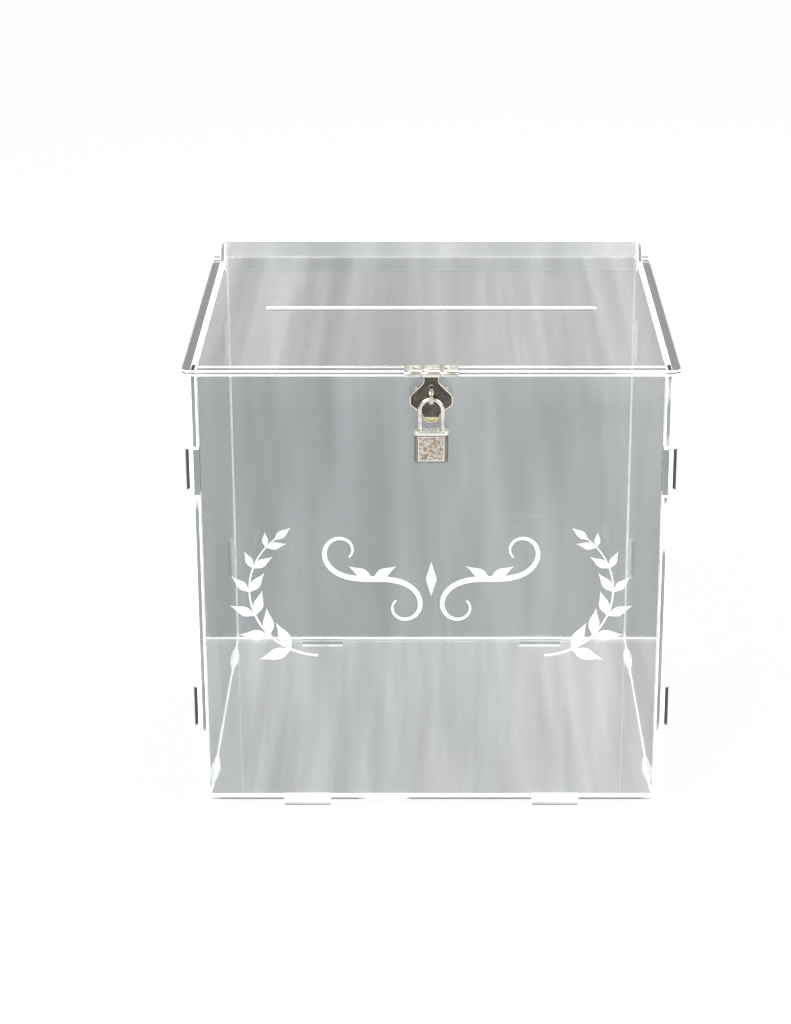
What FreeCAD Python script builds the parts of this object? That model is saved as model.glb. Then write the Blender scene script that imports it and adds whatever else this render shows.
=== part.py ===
import FreeCAD, Part
import math
import os
import re

from FreeCAD import Placement, Rotation, Vector

# A clear acrylic card box: tabbed panels, a pegged lid, a hasp with its staple and a small padlock.
# Millimetres. +Z is up, the front faces -Y, and the origin is the middle of the box's footprint.

doc = FreeCAD.newDocument("CardBox")

# Driving sizes
SIZES = [
    # acrylic panels
    ("sheet_thick", "3.0"),
    ("box_width", "254.0"),
    ("box_height", "250.0"),
    ("box_depth", "231.5"),
    ("setback", "4.8"),
    ("overhang", "4.6"),
    ("tab_reach", "4.6"),
    ("tab_width", "26.0"),
    ("tab_play", "0.1"),
    ("side_tab_inset", "55.0"),
    ("front_foot_spread", "139.4"),
    ("side_foot_inset", "38.5"),
    ("back_rise", "9.0"),
    # lid and its pegs
    ("lid_front_reach", "2.7"),
    ("lid_corner", "5.0"),
    ("lid_gap", "1.0"),
    ("lid_side_play", "0.5"),
    ("peg_width", "4.0"),
    ("peg_play", "0.15"),
    ("ear_wall", "6.85"),
    ("ear_play", "0.6"),
    ("card_slot_length", "187.4"),
    ("card_slot_width", "6.0"),
    ("card_slot_setback", "113.0"),
    # hasp
    ("hasp_thick", "0.8"),
    ("hasp_width", "28.6"),
    ("hasp_depth", "8.0"),
    ("hasp_gap", "0.3"),
    ("barrel_radius", "2.0"),
    ("knuckle_width", "9.4"),
    ("knuckle_play", "0.15"),
    ("pin_radius", "0.9"),
    ("pin_play", "0.05"),
    ("neck_width", "8.0"),
    ("neck_drop", "4.5"),
    ("leaf_width", "23.4"),
    ("leaf_shoulder_drop", "12.6"),
    ("leaf_waist_drop", "17.6"),
    ("lobe_drop", "22.6"),
    ("lobe_radius", "5.0"),
    ("leaf_slot_play", "0.5"),
    # screws and nuts
    ("screw_radius", "0.8"),
    ("screw_play", "0.05"),
    ("head_radius", "1.6"),
    ("head_thick", "0.8"),
    ("nut_radius", "1.8"),
    ("nut_thick", "1.3"),
    ("screw_end", "0.5"),
    ("hasp_screw_spread", "16.5"),
    ("hasp_screw_setback", "3.0"),
    # staple
    ("staple_width", "20.0"),
    ("staple_height", "13.0"),
    ("staple_screw_spread", "14.0"),
    ("eye_drop", "11.8"),
    ("eye_height", "10.2"),
    ("eye_wire", "1.6"),
    ("eye_thick", "2.0"),
    ("eye_play", "0.4"),
    # padlock
    ("lock_gap", "0.3"),
    ("shackle_radius", "1.2"),
    ("shackle_spread", "12.0"),
    ("shackle_drop", "11.0"),
    ("shackle_lift", "4.0"),
    ("toe_depth", "3.6"),
    ("heel_depth", "13.0"),
    ("leg_play", "0.08"),
    ("case_width", "18.0"),
    ("case_depth", "7.0"),
    ("case_height", "17.6"),
    ("case_corner", "1.6"),
    ("rim_height", "2.2"),
    ("rim_reach", "0.5"),
    ("face_width", "13.8"),
    ("face_height", "12.8"),
    ("face_margin", "1.2"),
    ("face_recess", "0.3"),
    ("core_radius", "2.6"),
    ("core_length", "7.0"),
    ("core_play", "0.05"),
    ("key_slot_width", "0.7"),
    ("key_slot_length", "3.4"),
    ("key_slot_depth", "3.0"),
    ("latch_height", "1.6"),
    ("latch_width", "2.2"),
    ("latch_length", "5.0"),
    ("latch_bite", "0.7"),
    ("latch_travel", "2.4"),
    ("latch_play", "0.12"),
    ("latch_lift", "1.0"),
    # white film decoration on the front panel
    ("film_thick", "0.15"),
    ("sprig_root_inset", "61.6"),
    ("sprig_root_z", "86.1"),
    ("sprig_belly_inset", "25.1"),
    ("sprig_belly_z", "119.0"),
    ("sprig_tip_inset", "39.7"),
    ("sprig_tip_z", "155.1"),
    ("sprig_pairs", "6"),
    ("stem_width", "1.1"),
    ("inner_leaf_low", "18.0"),
    ("inner_leaf_high", "11.5"),
    ("outer_leaf_low", "19.0"),
    ("outer_leaf_high", "9.0"),
    ("leaf_plumpness", "0.36"),
    ("scroll_reach", "26.0"),
    ("scroll_centre_x", "32.0"),
    ("scroll_centre_z", "131.5"),
    ("scroll_width", "3.2"),
    ("scroll_leaf_length", "15.0"),
    ("lozenge_width", "6.0"),
    ("lozenge_height", "20.0"),
]
sheet = doc.addObject("Spreadsheet::Sheet", "Sizes")
for row, (alias, number) in enumerate(SIZES, start=1):
    sheet.set(f"A{row}", alias.replace("_", " "))
    sheet.set(f"B{row}", number)
    sheet.setAlias(f"B{row}", alias)
doc.recompute()

size_names = {alias for alias, number in SIZES}
place_names = set()


def named(formula):
    """The formula with each size and each place written as the document's own reference."""

    def reference(word):
        text = word.group()
        if text in size_names:
            return f"Sizes.{text}"
        if text in place_names:
            return f"Places.{text}"
        return text

    return re.sub(r"[A-Za-z_]\w*", reference, str(formula))


# Levels and stations worked out from the driving sizes
PLACES = [
    ("floor_low", "tab_reach"),
    ("floor_top", "floor_low + sheet_thick"),
    ("panel_top", "floor_top + box_height"),
    ("lid_top", "panel_top + sheet_thick"),
    ("back_top", "lid_top + back_rise"),
    ("outer_half", "box_width / 2"),
    ("inner_half", "outer_half - sheet_thick"),
    ("wide_half", "outer_half + overhang"),
    ("tab_half", "outer_half + tab_reach"),
    ("leaf_reach", "lid_front_reach + hasp_gap + hasp_thick"),
    ("eye_reach", "leaf_reach + lock_gap + shackle_radius + eye_play + eye_height / 2"),
    ("front_y", "(eye_reach - box_depth) / 2"),
    ("rear_y", "front_y + box_depth"),
    ("front_face", "front_y + setback"),
    ("front_inside", "front_face + sheet_thick"),
    ("back_face", "rear_y - setback"),
    ("back_inside", "back_face - sheet_thick"),
    ("lid_front", "front_y - lid_front_reach"),
    ("lid_rear", "back_inside - lid_gap"),
    ("lid_neck_half", "inner_half - lid_side_play"),
    ("peg_y", "lid_rear - peg_width / 2"),
    ("peg_z", "panel_top + sheet_thick / 2"),
    ("ear_hole", "sqrt(peg_width ^ 2 + sheet_thick ^ 2) / 2 + peg_play"),
    ("ear_radius", "ear_hole + ear_wall"),
    ("notch_front", "peg_y - ear_radius - ear_play"),
    ("slot_y", "front_y + card_slot_setback"),
    ("barrel_y", "lid_front - hasp_gap - barrel_radius"),
    ("barrel_z", "lid_top + hasp_thick - barrel_radius"),
    ("leaf_front", "front_y - leaf_reach"),
    ("leaf_rear", "leaf_front + hasp_thick"),
    ("hasp_screw_y", "lid_front + hasp_screw_setback"),
    ("shackle_y", "leaf_front - lock_gap - shackle_radius"),
    ("eye_y", "shackle_y - eye_play"),
    ("eye_z", "barrel_z - eye_drop"),
    ("plate_front", "front_face - hasp_thick"),
    ("bow_z", "eye_z - eye_height / 2 + eye_wire + lock_gap + shackle_radius - shackle_spread / 2"),
    ("case_top", "bow_z - shackle_drop"),
    ("case_low", "case_top - case_height"),
    ("latch_z", "case_low + core_length + latch_lift"),
    ("leg_x", "shackle_spread / 2"),
    ("latch_tip", "shackle_radius - leg_x - latch_bite"),
    ("notch_spare", "shackle_lift * (latch_bite + 2 * latch_play) / latch_travel"),
]
places = doc.addObject("App::VarSet", "Places")
for name, formula in PLACES:
    places.addProperty("App::PropertyFloat", name, "Places")
    places.setExpression(name, named(formula))
    place_names.add(name)
doc.recompute()


def bind(thing, slot, formula):
    """Ties one property of a document object to a formula of sizes and places."""
    thing.setExpression(slot, named(formula))


def block(name, x, y, z):
    """A box between a low and a high formula along each axis."""
    solid = doc.addObject("Part::Box", name)
    for side, axis, (low, high) in zip(("Length", "Width", "Height"), "xyz", (x, y, z)):
        bind(solid, side, f"({high}) - ({low})")
        bind(solid, f"Placement.Base.{axis}", low)
    return solid


AXIS_TURNS = {
    "x": Rotation(Vector(0, 1, 0), 90),
    "y": Rotation(Vector(1, 0, 0), -90),
    "z": Rotation(),
}


def put(solid, axis, at):
    """Turns a solid's own upright axis to the named axis, with its base at the three formulas."""
    solid.Placement = Placement(Vector(), AXIS_TURNS[axis])
    for coordinate, formula in zip("xyz", at):
        bind(solid, f"Placement.Base.{coordinate}", formula)
    return solid


def rod(name, axis, radius, length, at):
    """A cylinder that starts at a point and runs along +X, +Y or +Z."""
    solid = doc.addObject("Part::Cylinder", name)
    bind(solid, "Radius", radius)
    bind(solid, "Height", length)
    return put(solid, axis, at)


def hexagon(name, axis, radius, length, at):
    """A hexagonal prism, used for nuts, that starts at a point and runs along an axis."""
    solid = doc.addObject("Part::Prism", name)
    solid.Polygon = 6
    bind(solid, "Circumradius", radius)
    bind(solid, "Height", length)
    return put(solid, axis, at)


def flare(name, low_half, high_half, y, z):
    """An upright plate whose half width changes evenly from its low edge to its high edge."""
    solid = doc.addObject("Part::Wedge", name)
    solid.Placement = Placement(Vector(), Rotation(Vector(1, 0, 0), 90))
    bind(solid, "Xmin", f"-({low_half})")
    bind(solid, "Xmax", low_half)
    bind(solid, "X2min", f"-({high_half})")
    bind(solid, "X2max", high_half)
    bind(solid, "Ymin", "0")
    bind(solid, "Ymax", f"({z[1]}) - ({z[0]})")
    for edge in ("Zmin", "Z2min"):
        bind(solid, edge, "0")
    for edge in ("Zmax", "Z2max"):
        bind(solid, edge, f"({y[1]}) - ({y[0]})")
    bind(solid, "Placement.Base.y", y[1])
    bind(solid, "Placement.Base.z", z[0])
    return solid


def join(name, solids):
    """Several solids made one, or kept as a group where they stand apart."""
    whole = doc.addObject("Part::MultiFuse", name)
    whole.Shapes = solids
    whole.Refine = True
    return whole


def trim(name, base, tools):
    """A solid less all the tool solids."""
    rest = doc.addObject("Part::Cut", name)
    rest.Base = base
    rest.Tool = tools[0] if len(tools) == 1 else join(f"{name}_tools", tools)
    rest.Refine = True
    return rest


nodes = []


def finish(solid, label):
    """Marks a finished sub-part and gives it the name of its file."""
    solid.Label = label
    nodes.append(solid)


def span(centre, length):
    """The low and high ends of a length about its centre."""
    return (f"{centre} - ({length}) / 2", f"{centre} + ({length}) / 2")


def on_side(side, low, high):
    """A stretch along X measured outwards from the middle, on the right (1) or the left (-1)."""
    return (low, high) if side > 0 else (f"-({high})", f"-({low})")


SIDES = {"left": -1, "right": 1}
TAB_LEVELS = {"low": "floor_top + side_tab_inset", "high": "panel_top - side_tab_inset"}
SLOT_LENGTH = "tab_width + 2 * tab_play"


# Front and back panels, with tabs through the side panels and feet through the floor
def end_panel(label, y, top):
    """An upright panel between the side panels, from its low to its high Y, up to a level."""
    solids = [block(f"{label}_plate", ("-inner_half", "inner_half"), y, ("floor_top", top))]
    for side_name, side in SIDES.items():
        reach = on_side(side, "inner_half", "tab_half")
        for level_name, level in TAB_LEVELS.items():
            solids.append(block(f"{label}_tab_{side_name}_{level_name}", reach, y, span(level, "tab_width")))
        foot = span(f"{side} * front_foot_spread / 2", "tab_width")
        solids.append(block(f"{label}_foot_{side_name}", foot, y, ("0", "floor_top")))
    return join(f"{label}_solid", solids)


front_blank = end_panel("front_panel", ("front_face", "front_inside"), "panel_top")
SCREW_HOLE = "screw_radius + screw_play"
staple_holes = [
    rod(f"staple_hole_{name}", "y", SCREW_HOLE, "sheet_thick",
        (f"{side} * staple_screw_spread / 2", "front_face", "eye_z"))
    for name, side in SIDES.items()
]
finish(trim("front_panel", front_blank, staple_holes), "front_panel")
finish(end_panel("back_panel", ("back_inside", "back_face"), "back_top"), "back_panel")


# Side panels, slotted for those tabs, with two feet and the ear that carries a lid peg
def side_panel(label, side):
    """The right or left panel: plate, feet and ear, less its slots and the peg hole."""
    wall = on_side(side, "inner_half", "outer_half")
    solids = [block(f"{label}_plate", wall, ("front_y", "rear_y"), ("floor_top", "panel_top"))]
    foot_places = {"front": "front_y + side_foot_inset", "rear": "rear_y - side_foot_inset"}
    for place_name, place in foot_places.items():
        foot = span(place, "tab_width")
        solids.append(block(f"{label}_foot_{place_name}", wall, foot, ("0", "floor_top")))
    solids.append(rod(f"{label}_ear", "x", "ear_radius", "sheet_thick", (wall[0], "peg_y", "peg_z")))
    cuts = [rod(f"{label}_peg_hole", "x", "ear_hole", "sheet_thick", (wall[0], "peg_y", "peg_z"))]
    slots = {
        "front": ("front_face - tab_play", "front_inside + tab_play"),
        "back": ("back_inside - tab_play", "back_face + tab_play"),
    }
    for slot_name, y in slots.items():
        for level_name, level in TAB_LEVELS.items():
            cuts.append(block(f"{label}_slot_{slot_name}_{level_name}", wall, y, span(level, SLOT_LENGTH)))
    finish(trim(label, join(f"{label}_solid", solids), cuts), label)


for side_name, side in SIDES.items():
    side_panel(f"{side_name}_panel", side)

# Floor panel, flush with the walls, with a notch for each foot
FLOOR_LEVELS = ("floor_low", "floor_top")
floor_plate = block("floor_plate", ("-outer_half", "outer_half"), ("front_face", "back_face"), FLOOR_LEVELS)
floor_notches = []
for side_name, side in SIDES.items():
    along_front = span(f"{side} * front_foot_spread / 2", SLOT_LENGTH)
    end_rows = {
        "front": ("front_face - tab_play", "front_inside + tab_play"),
        "back": ("back_inside - tab_play", "back_face + tab_play"),
    }
    for row_name, y in end_rows.items():
        name = f"floor_notch_{row_name}_{side_name}"
        floor_notches.append(block(name, along_front, y, FLOOR_LEVELS))
    across = on_side(side, "inner_half - tab_play", "outer_half + tab_play")
    side_rows = {"front": "front_y + side_foot_inset", "rear": "rear_y - side_foot_inset"}
    for row_name, place in side_rows.items():
        name = f"floor_notch_{side_name}_{row_name}"
        floor_notches.append(block(name, across, span(place, SLOT_LENGTH), FLOOR_LEVELS))
finish(trim("floor_panel", floor_plate, floor_notches), "floor_panel")

# Lid: rounded front corners, a card slot, notches round the ears and a peg at each side
LID_LEVELS = ("panel_top", "lid_top")
lid_solids = [
    block("lid_main", ("-wide_half", "wide_half"), ("lid_front + lid_corner", "notch_front"), LID_LEVELS),
    block("lid_lip", ("lid_corner - wide_half", "wide_half - lid_corner"),
          ("lid_front", "lid_front + lid_corner"), LID_LEVELS),
    block("lid_neck", ("-lid_neck_half", "lid_neck_half"), ("notch_front", "lid_rear"), LID_LEVELS),
    block("lid_pegs", ("-wide_half", "wide_half"), span("peg_y", "peg_width"), LID_LEVELS),
]
for side_name, side in SIDES.items():
    corner = (f"{side} * (wide_half - lid_corner)", "lid_front + lid_corner", "panel_top")
    lid_solids.append(rod(f"lid_corner_{side_name}", "z", "lid_corner", "sheet_thick", corner))
card_slot_run = "card_slot_length - card_slot_width"
lid_cuts = [block("card_slot", span("0", card_slot_run), span("slot_y", "card_slot_width"), LID_LEVELS)]
for side_name, side in SIDES.items():
    slot_end = (f"{side} * ({card_slot_run}) / 2", "slot_y", "panel_top")
    lid_cuts.append(rod(f"card_slot_end_{side_name}", "z", "card_slot_width / 2", "sheet_thick", slot_end))
    screw = (f"{side} * hasp_screw_spread / 2", "hasp_screw_y", "panel_top")
    lid_cuts.append(rod(f"lid_screw_hole_{side_name}", "z", SCREW_HOLE, "sheet_thick", screw))
finish(trim("lid_panel", join("lid_solid", lid_solids), lid_cuts), "lid_panel")

# Hasp lid leaf: a plate on the lid with the two outer knuckles of the barrel
PLATE_LEVELS = ("lid_top", "lid_top + hasp_thick")
PIN_BORE = "pin_radius + pin_play"
centre_half = "knuckle_width / 2 + knuckle_play"
lid_leaf_solids = [
    block("lid_leaf_plate", span("0", "hasp_width"), ("barrel_y", "lid_front + hasp_depth"), PLATE_LEVELS),
    rod("lid_leaf_barrel", "x", "barrel_radius", "hasp_width", ("-hasp_width / 2", "barrel_y", "barrel_z")),
]
lid_leaf_cuts = [
    block("lid_leaf_gap", (f"-({centre_half})", centre_half),
          ("barrel_y - 2 * barrel_radius", "lid_front"),
          ("barrel_z - 2 * barrel_radius", "barrel_z + 2 * barrel_radius")),
    rod("lid_leaf_bore", "x", PIN_BORE, "hasp_width", ("-hasp_width / 2", "barrel_y", "barrel_z")),
]
for side_name, side in SIDES.items():
    screw = (f"{side} * hasp_screw_spread / 2", "hasp_screw_y", "lid_top")
    lid_leaf_cuts.append(rod(f"lid_leaf_hole_{side_name}", "z", SCREW_HOLE, "hasp_thick", screw))
finish(trim("hasp_lid_leaf", join("lid_leaf_solid", lid_leaf_solids), lid_leaf_cuts), "hasp_lid_leaf")

# Hasp pin through all three knuckles
pin = rod("hasp_pin", "x", "pin_radius", "hasp_width", ("-hasp_width / 2", "barrel_y", "barrel_z"))
finish(pin, "hasp_pin")

# Hasp swing leaf: the centre knuckle and the plate that hangs over the staple
LEAF_DEPTH = ("leaf_front", "leaf_rear")
waist_half = "lobe_radius"
knuckle_start = ("-knuckle_width / 2", "barrel_y", "barrel_z")
leaf_solids = [
    rod("leaf_knuckle", "x", "barrel_radius", "knuckle_width", knuckle_start),
    block("leaf_neck", span("0", "neck_width"), LEAF_DEPTH, ("barrel_z - neck_drop", "barrel_z")),
    flare("leaf_shoulder", "leaf_width / 2", "neck_width / 2", LEAF_DEPTH,
          ("barrel_z - leaf_shoulder_drop", "barrel_z - neck_drop")),
    block("leaf_band", span("0", "leaf_width"), LEAF_DEPTH,
          ("barrel_z - leaf_waist_drop", "barrel_z - leaf_shoulder_drop")),
    flare("leaf_taper", waist_half, "leaf_width / 2", LEAF_DEPTH,
          ("barrel_z - lobe_drop", "barrel_z - leaf_waist_drop")),
    rod("leaf_lobe", "y", "lobe_radius", "hasp_thick", ("0", "leaf_front", "barrel_z - lobe_drop")),
]
leaf_cuts = [
    rod("leaf_bore", "x", PIN_BORE, "knuckle_width", knuckle_start),
    block("leaf_slot", span("0", "eye_thick + 2 * leaf_slot_play"), LEAF_DEPTH,
          span("eye_z", "eye_height + 2 * leaf_slot_play")),
]
finish(trim("hasp_swing_leaf", join("leaf_solid", leaf_solids), leaf_cuts), "hasp_swing_leaf")

# Staple: a stamped eye set in a plate on the front panel
PLATE_DEPTH = ("plate_front", "front_face")
staple_blank = block("staple_blank", span("0", "staple_width"), PLATE_DEPTH, span("eye_z", "staple_height"))
staple_cuts = [block("staple_window", span("0", "eye_thick"), PLATE_DEPTH, span("eye_z", "eye_height"))]
for side_name, side in SIDES.items():
    screw = (f"{side} * staple_screw_spread / 2", "plate_front", "eye_z")
    staple_cuts.append(rod(f"plate_hole_{side_name}", "y", SCREW_HOLE, "hasp_thick", screw))
finish(trim("staple_plate", staple_blank, staple_cuts), "staple_plate")
eye_inside = "eye_height - 2 * eye_wire"
eye_outer = join("eye_outer", [
    block("eye_bar", span("0", "eye_thick"), ("eye_y", "front_face"), span("eye_z", "eye_height")),
    rod("eye_nose", "x", "eye_height / 2", "eye_thick", ("-eye_thick / 2", "eye_y", "eye_z")),
])
eye_cuts = [
    block("eye_gap", span("0", "eye_thick"), ("eye_y", "plate_front"), span("eye_z", eye_inside)),
    rod("eye_hollow", "x", f"({eye_inside}) / 2", "eye_thick", ("-eye_thick / 2", "eye_y", "eye_z")),
]
finish(trim("staple_eye", eye_outer, eye_cuts), "staple_eye")


# Screws and nuts: two screws hold the hasp to the lid, two hold the staple to the front panel
def screw_pair(label, axis, spread, head_low, shank_low, shank_length, across):
    """Two screws a spread apart along X; `across` places a level along the screw's axis."""
    screws = []
    for name, side in SIDES.items():
        x = f"{side} * {spread} / 2"
        screws.append(rod(f"{label}_head_{name}", axis, "head_radius", "head_thick", across(x, head_low)))
        screws.append(rod(f"{label}_shank_{name}", axis, "screw_radius", shank_length, across(x, shank_low)))
    finish(join(label, screws), label)


def nut_pair(label, axis, spread, low, across):
    """Two hexagonal nuts a spread apart along X, with the screw's hole through them."""
    bodies = []
    holes = []
    for name, side in SIDES.items():
        at = across(f"{side} * {spread} / 2", low)
        bodies.append(hexagon(f"{label}_hex_{name}", axis, "nut_radius", "nut_thick", at))
        holes.append(rod(f"{label}_hole_{name}", axis, SCREW_HOLE, "nut_thick", at))
    finish(trim(label, join(f"{label}_solid", bodies), holes), label)


def over_lid(x, level):
    """A point on a hasp screw's axis at a height."""
    return (x, "hasp_screw_y", level)


def into_front(x, depth):
    """A point on a staple screw's axis at a place along Y."""
    return (x, depth, "eye_z")


screw_pair("hasp_screws", "z", "hasp_screw_spread", "lid_top + hasp_thick",
           "panel_top - nut_thick - screw_end", "screw_end + nut_thick + sheet_thick + hasp_thick", over_lid)
nut_pair("hasp_nuts", "z", "hasp_screw_spread", "panel_top - nut_thick", over_lid)
screw_pair("staple_screws", "y", "staple_screw_spread", "plate_front - head_thick", "plate_front",
           "hasp_thick + sheet_thick + nut_thick + screw_end", into_front)
nut_pair("staple_nuts", "y", "staple_screw_spread", "front_inside", into_front)


# Padlock case: a rounded block under a rim, bored for the shackle, the core and the latch
def rounded_block(name, half_x, half_y, z):
    """An upright block about the shackle's plane with its four upright edges rounded."""
    flat_x = f"({half_x}) - case_corner"
    flat_y = f"({half_y}) - case_corner"
    height = f"({z[1]}) - ({z[0]})"
    across_y = (f"shackle_y - ({flat_y})", f"shackle_y + {flat_y}")
    along_y = (f"shackle_y - ({half_y})", f"shackle_y + {half_y}")
    solids = [
        block(f"{name}_across", (f"-({half_x})", half_x), across_y, z),
        block(f"{name}_along", (f"-({flat_x})", flat_x), along_y, z),
    ]
    for side_name, side in SIDES.items():
        for edge_name, edge in {"front": -1, "rear": 1}.items():
            at = (f"{side} * ({flat_x})", f"shackle_y + {edge} * ({flat_y})", z[0])
            solids.append(rod(f"{name}_edge_{side_name}_{edge_name}", "z", "case_corner", height, at))
    return join(name, solids)


case_body = rounded_block("case_body", "case_width / 2", "case_depth / 2",
                          ("case_low", "case_top - rim_height"))
case_rim = rounded_block("case_rim", "case_width / 2 + rim_reach", "case_depth / 2 + rim_reach",
                         ("case_top - rim_height", "case_top"))
leg_bore = "shackle_radius + leg_play"
heel_room = "heel_depth + leg_play"
toe_room = "toe_depth + leg_play"
face_levels = ("case_low + face_margin", "case_low + face_margin + face_height")
case_cuts = [
    rod("heel_bore", "z", leg_bore, heel_room, ("-leg_x", "shackle_y", f"case_top - ({heel_room})")),
    rod("toe_bore", "z", leg_bore, toe_room, ("leg_x", "shackle_y", f"case_top - ({toe_room})")),
    rod("core_bore", "z", "core_radius + core_play", "core_length + core_play",
        ("0", "shackle_y", "case_low")),
    block("latch_channel", ("-leg_x", "latch_tip + latch_length + latch_travel + latch_play"),
          span("shackle_y", "latch_width + 2 * latch_play"),
          ("latch_z - latch_play", "latch_z + latch_height + latch_play")),
    block("front_recess", span("0", "face_width"),
          ("shackle_y - case_depth / 2", "shackle_y - case_depth / 2 + face_recess"), face_levels),
    block("rear_recess", span("0", "face_width"),
          ("shackle_y + case_depth / 2 - face_recess", "shackle_y + case_depth / 2"), face_levels),
]
finish(trim("padlock_case", join("case_solid", [case_body, case_rim]), case_cuts), "padlock_case")

# Padlock shackle: a bent rod with a long heel leg, notched for the latch, and a short toe leg
bow = doc.addObject("Part::Torus", "shackle_bow")
bind(bow, "Radius1", "leg_x")
bind(bow, "Radius2", "shackle_radius")
bow.Angle3 = 180
bow.Placement = Placement(Vector(), Rotation(Vector(1, 0, 0), 90))
bind(bow, "Placement.Base.y", "shackle_y")
bind(bow, "Placement.Base.z", "bow_z")
heel_leg = rod("heel_leg", "z", "shackle_radius", "shackle_drop + heel_depth",
               ("-leg_x", "shackle_y", "case_top - heel_depth"))
toe_leg = rod("toe_leg", "z", "shackle_radius", "shackle_drop + toe_depth",
              ("leg_x", "shackle_y", "case_top - toe_depth"))
latch_notch = block("latch_notch", ("latch_tip - latch_play", "2 * shackle_radius - leg_x"),
                    span("shackle_y", "4 * shackle_radius"),
                    ("latch_z - notch_spare", "latch_z + latch_height + latch_play"))
shackle_rod = join("shackle_rod", [bow, heel_leg, toe_leg])
finish(trim("padlock_shackle", shackle_rod, [latch_notch]), "padlock_shackle")

# Padlock core with its key slot, and the latch bolt above it
core_rod = rod("core_rod", "z", "core_radius", "core_length", ("0", "shackle_y", "case_low"))
key_slot = block("key_slot", span("0", "key_slot_length"), span("shackle_y", "key_slot_width"),
                 ("case_low", "case_low + key_slot_depth"))
finish(trim("padlock_core", core_rod, [key_slot]), "padlock_core")
finish(
    block("padlock_latch", ("latch_tip", "latch_tip + latch_length"), span("shackle_y", "latch_width"),
          ("latch_z", "latch_z + latch_height")),
    "padlock_latch",
)
doc.recompute()


# White film decoration, cut from thin sheet and stuck to the front panel
def size(alias):
    """The number that the sheet holds for a size."""
    return float(sheet.get(alias))


FILM_BACK = places.front_face
FILM_BASE = places.floor_top


def spot(x, z):
    """A point on the film's back, from the middle of the panel and the top of the floor."""
    return Vector(x, FILM_BACK, FILM_BASE + z)


LEAF_OUTLINE = ((0.12, 0.34), (0.28, 0.84), (0.42, 1.0), (0.58, 0.82), (0.76, 0.4), (0.9, 0.13))


def lens(root, direction, length, plumpness):
    """A leaf face between two smooth edges that meet at its root and its drawn-out tip."""
    tip = root + direction * length
    bulge = Vector(0, 1, 0).cross(direction) * (length * plumpness / 2)
    edges = []
    for side in (1, -1):
        half = bulge * side
        edge = [root + direction * (length * along) + half * share for along, share in LEAF_OUTLINE]
        curve = Part.BSplineCurve()
        curve.interpolate([root] + edge + [tip])
        edges.append(curve.toShape())
    return Part.Face(Part.Wire(Part.__sortEdges__(edges)))


def ribbon(points, widths):
    """A strip face along points, with a width at each; its two edges are smooth curves."""
    left = []
    right = []
    last = len(points) - 1
    for index, (point, width) in enumerate(zip(points, widths)):
        ahead = points[min(index + 1, last)] - points[max(index - 1, 0)]
        across = Vector(0, 1, 0).cross(ahead).normalize() * (width / 2)
        left.append(point + across)
        right.append(point - across)
    curves = []
    for row in (left, right):
        curve = Part.BSplineCurve()
        curve.interpolate(row)
        curves.append(curve.toShape())
    ends = [Part.makeLine(left[0], right[0]), Part.makeLine(left[-1], right[-1])]
    return Part.Face(Part.Wire(Part.__sortEdges__(curves + ends)))


def film(label, groups):
    """Cut-outs of film as one sub-part: each is a group of faces joined where they meet, then raised."""
    lift = Vector(0, -size("film_thick"), 0)
    cutouts = []
    for faces in groups:
        outline = faces[0].multiFuse(faces[1:]).removeSplitter() if len(faces) > 1 else faces[0]
        cutouts.append(outline.extrude(lift))
    piece = doc.addObject("Part::Feature", label)
    piece.Shape = Part.makeCompound([solid for cutout in cutouts for solid in cutout.Solids])
    piece.Placement = Placement()
    finish(piece, label)


INNER_LEAF_TURN = math.radians(-38)
OUTER_LEAF_TURN = math.radians(44)
FIRST_PAIR = 0.16
LAST_PAIR = 0.92
STEM_STEPS = 24
STEM_ROOT_SHARE = 1.3
STEM_TIP_SHARE = 0.6


def turned(direction, angle, side):
    """A direction in the panel's plane turned by an angle, which is mirrored on the right."""
    return Rotation(Vector(0, 1, 0), math.degrees(angle) * side).multVec(direction)


def sprig(label, side):
    """A laurel sprig: an arc for its stem, leaf pairs that shorten upwards and a leaf at its tip."""
    root, belly, tip = (
        spot(side * (places.inner_half - size(f"sprig_{name}_inset")), size(f"sprig_{name}_z"))
        for name in ("root", "belly", "tip")
    )
    stem = Part.Arc(root, belly, tip)
    first = stem.FirstParameter
    run = stem.LastParameter - first
    width = size("stem_width")
    shares = [step / STEM_STEPS for step in range(STEM_STEPS + 1)]
    points = [stem.value(first + run * share) for share in shares]
    narrowing = STEM_ROOT_SHARE - STEM_TIP_SHARE
    faces = [ribbon(points, [width * (STEM_ROOT_SHARE - narrowing * share) for share in shares])]
    pairs = int(size("sprig_pairs"))
    plumpness = size("leaf_plumpness")
    for pair in range(pairs):
        rise = pair / (pairs - 1)
        at = first + run * (FIRST_PAIR + (LAST_PAIR - FIRST_PAIR) * rise)
        base = stem.value(at)
        along = stem.tangent(at)[0]
        for name, turn in (("inner", INNER_LEAF_TURN), ("outer", OUTER_LEAF_TURN)):
            low = size(f"{name}_leaf_low")
            length = low + (size(f"{name}_leaf_high") - low) * rise
            faces.append(lens(base, turned(along, turn, side), length, plumpness))
    end = stem.tangent(stem.LastParameter)[0]
    faces.append(lens(tip - end * width, end, size("inner_leaf_high"), plumpness))
    film(label, [faces])


for side_name, side in SIDES.items():
    sprig(f"laurel_{side_name}", side)


SCROLL_TURN = 5.6
SCROLL_STEPS = 60
SCROLL_END_SHARE = 0.3
SCROLL_LEAF_TURNS = (math.radians(30), math.radians(150))


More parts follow.
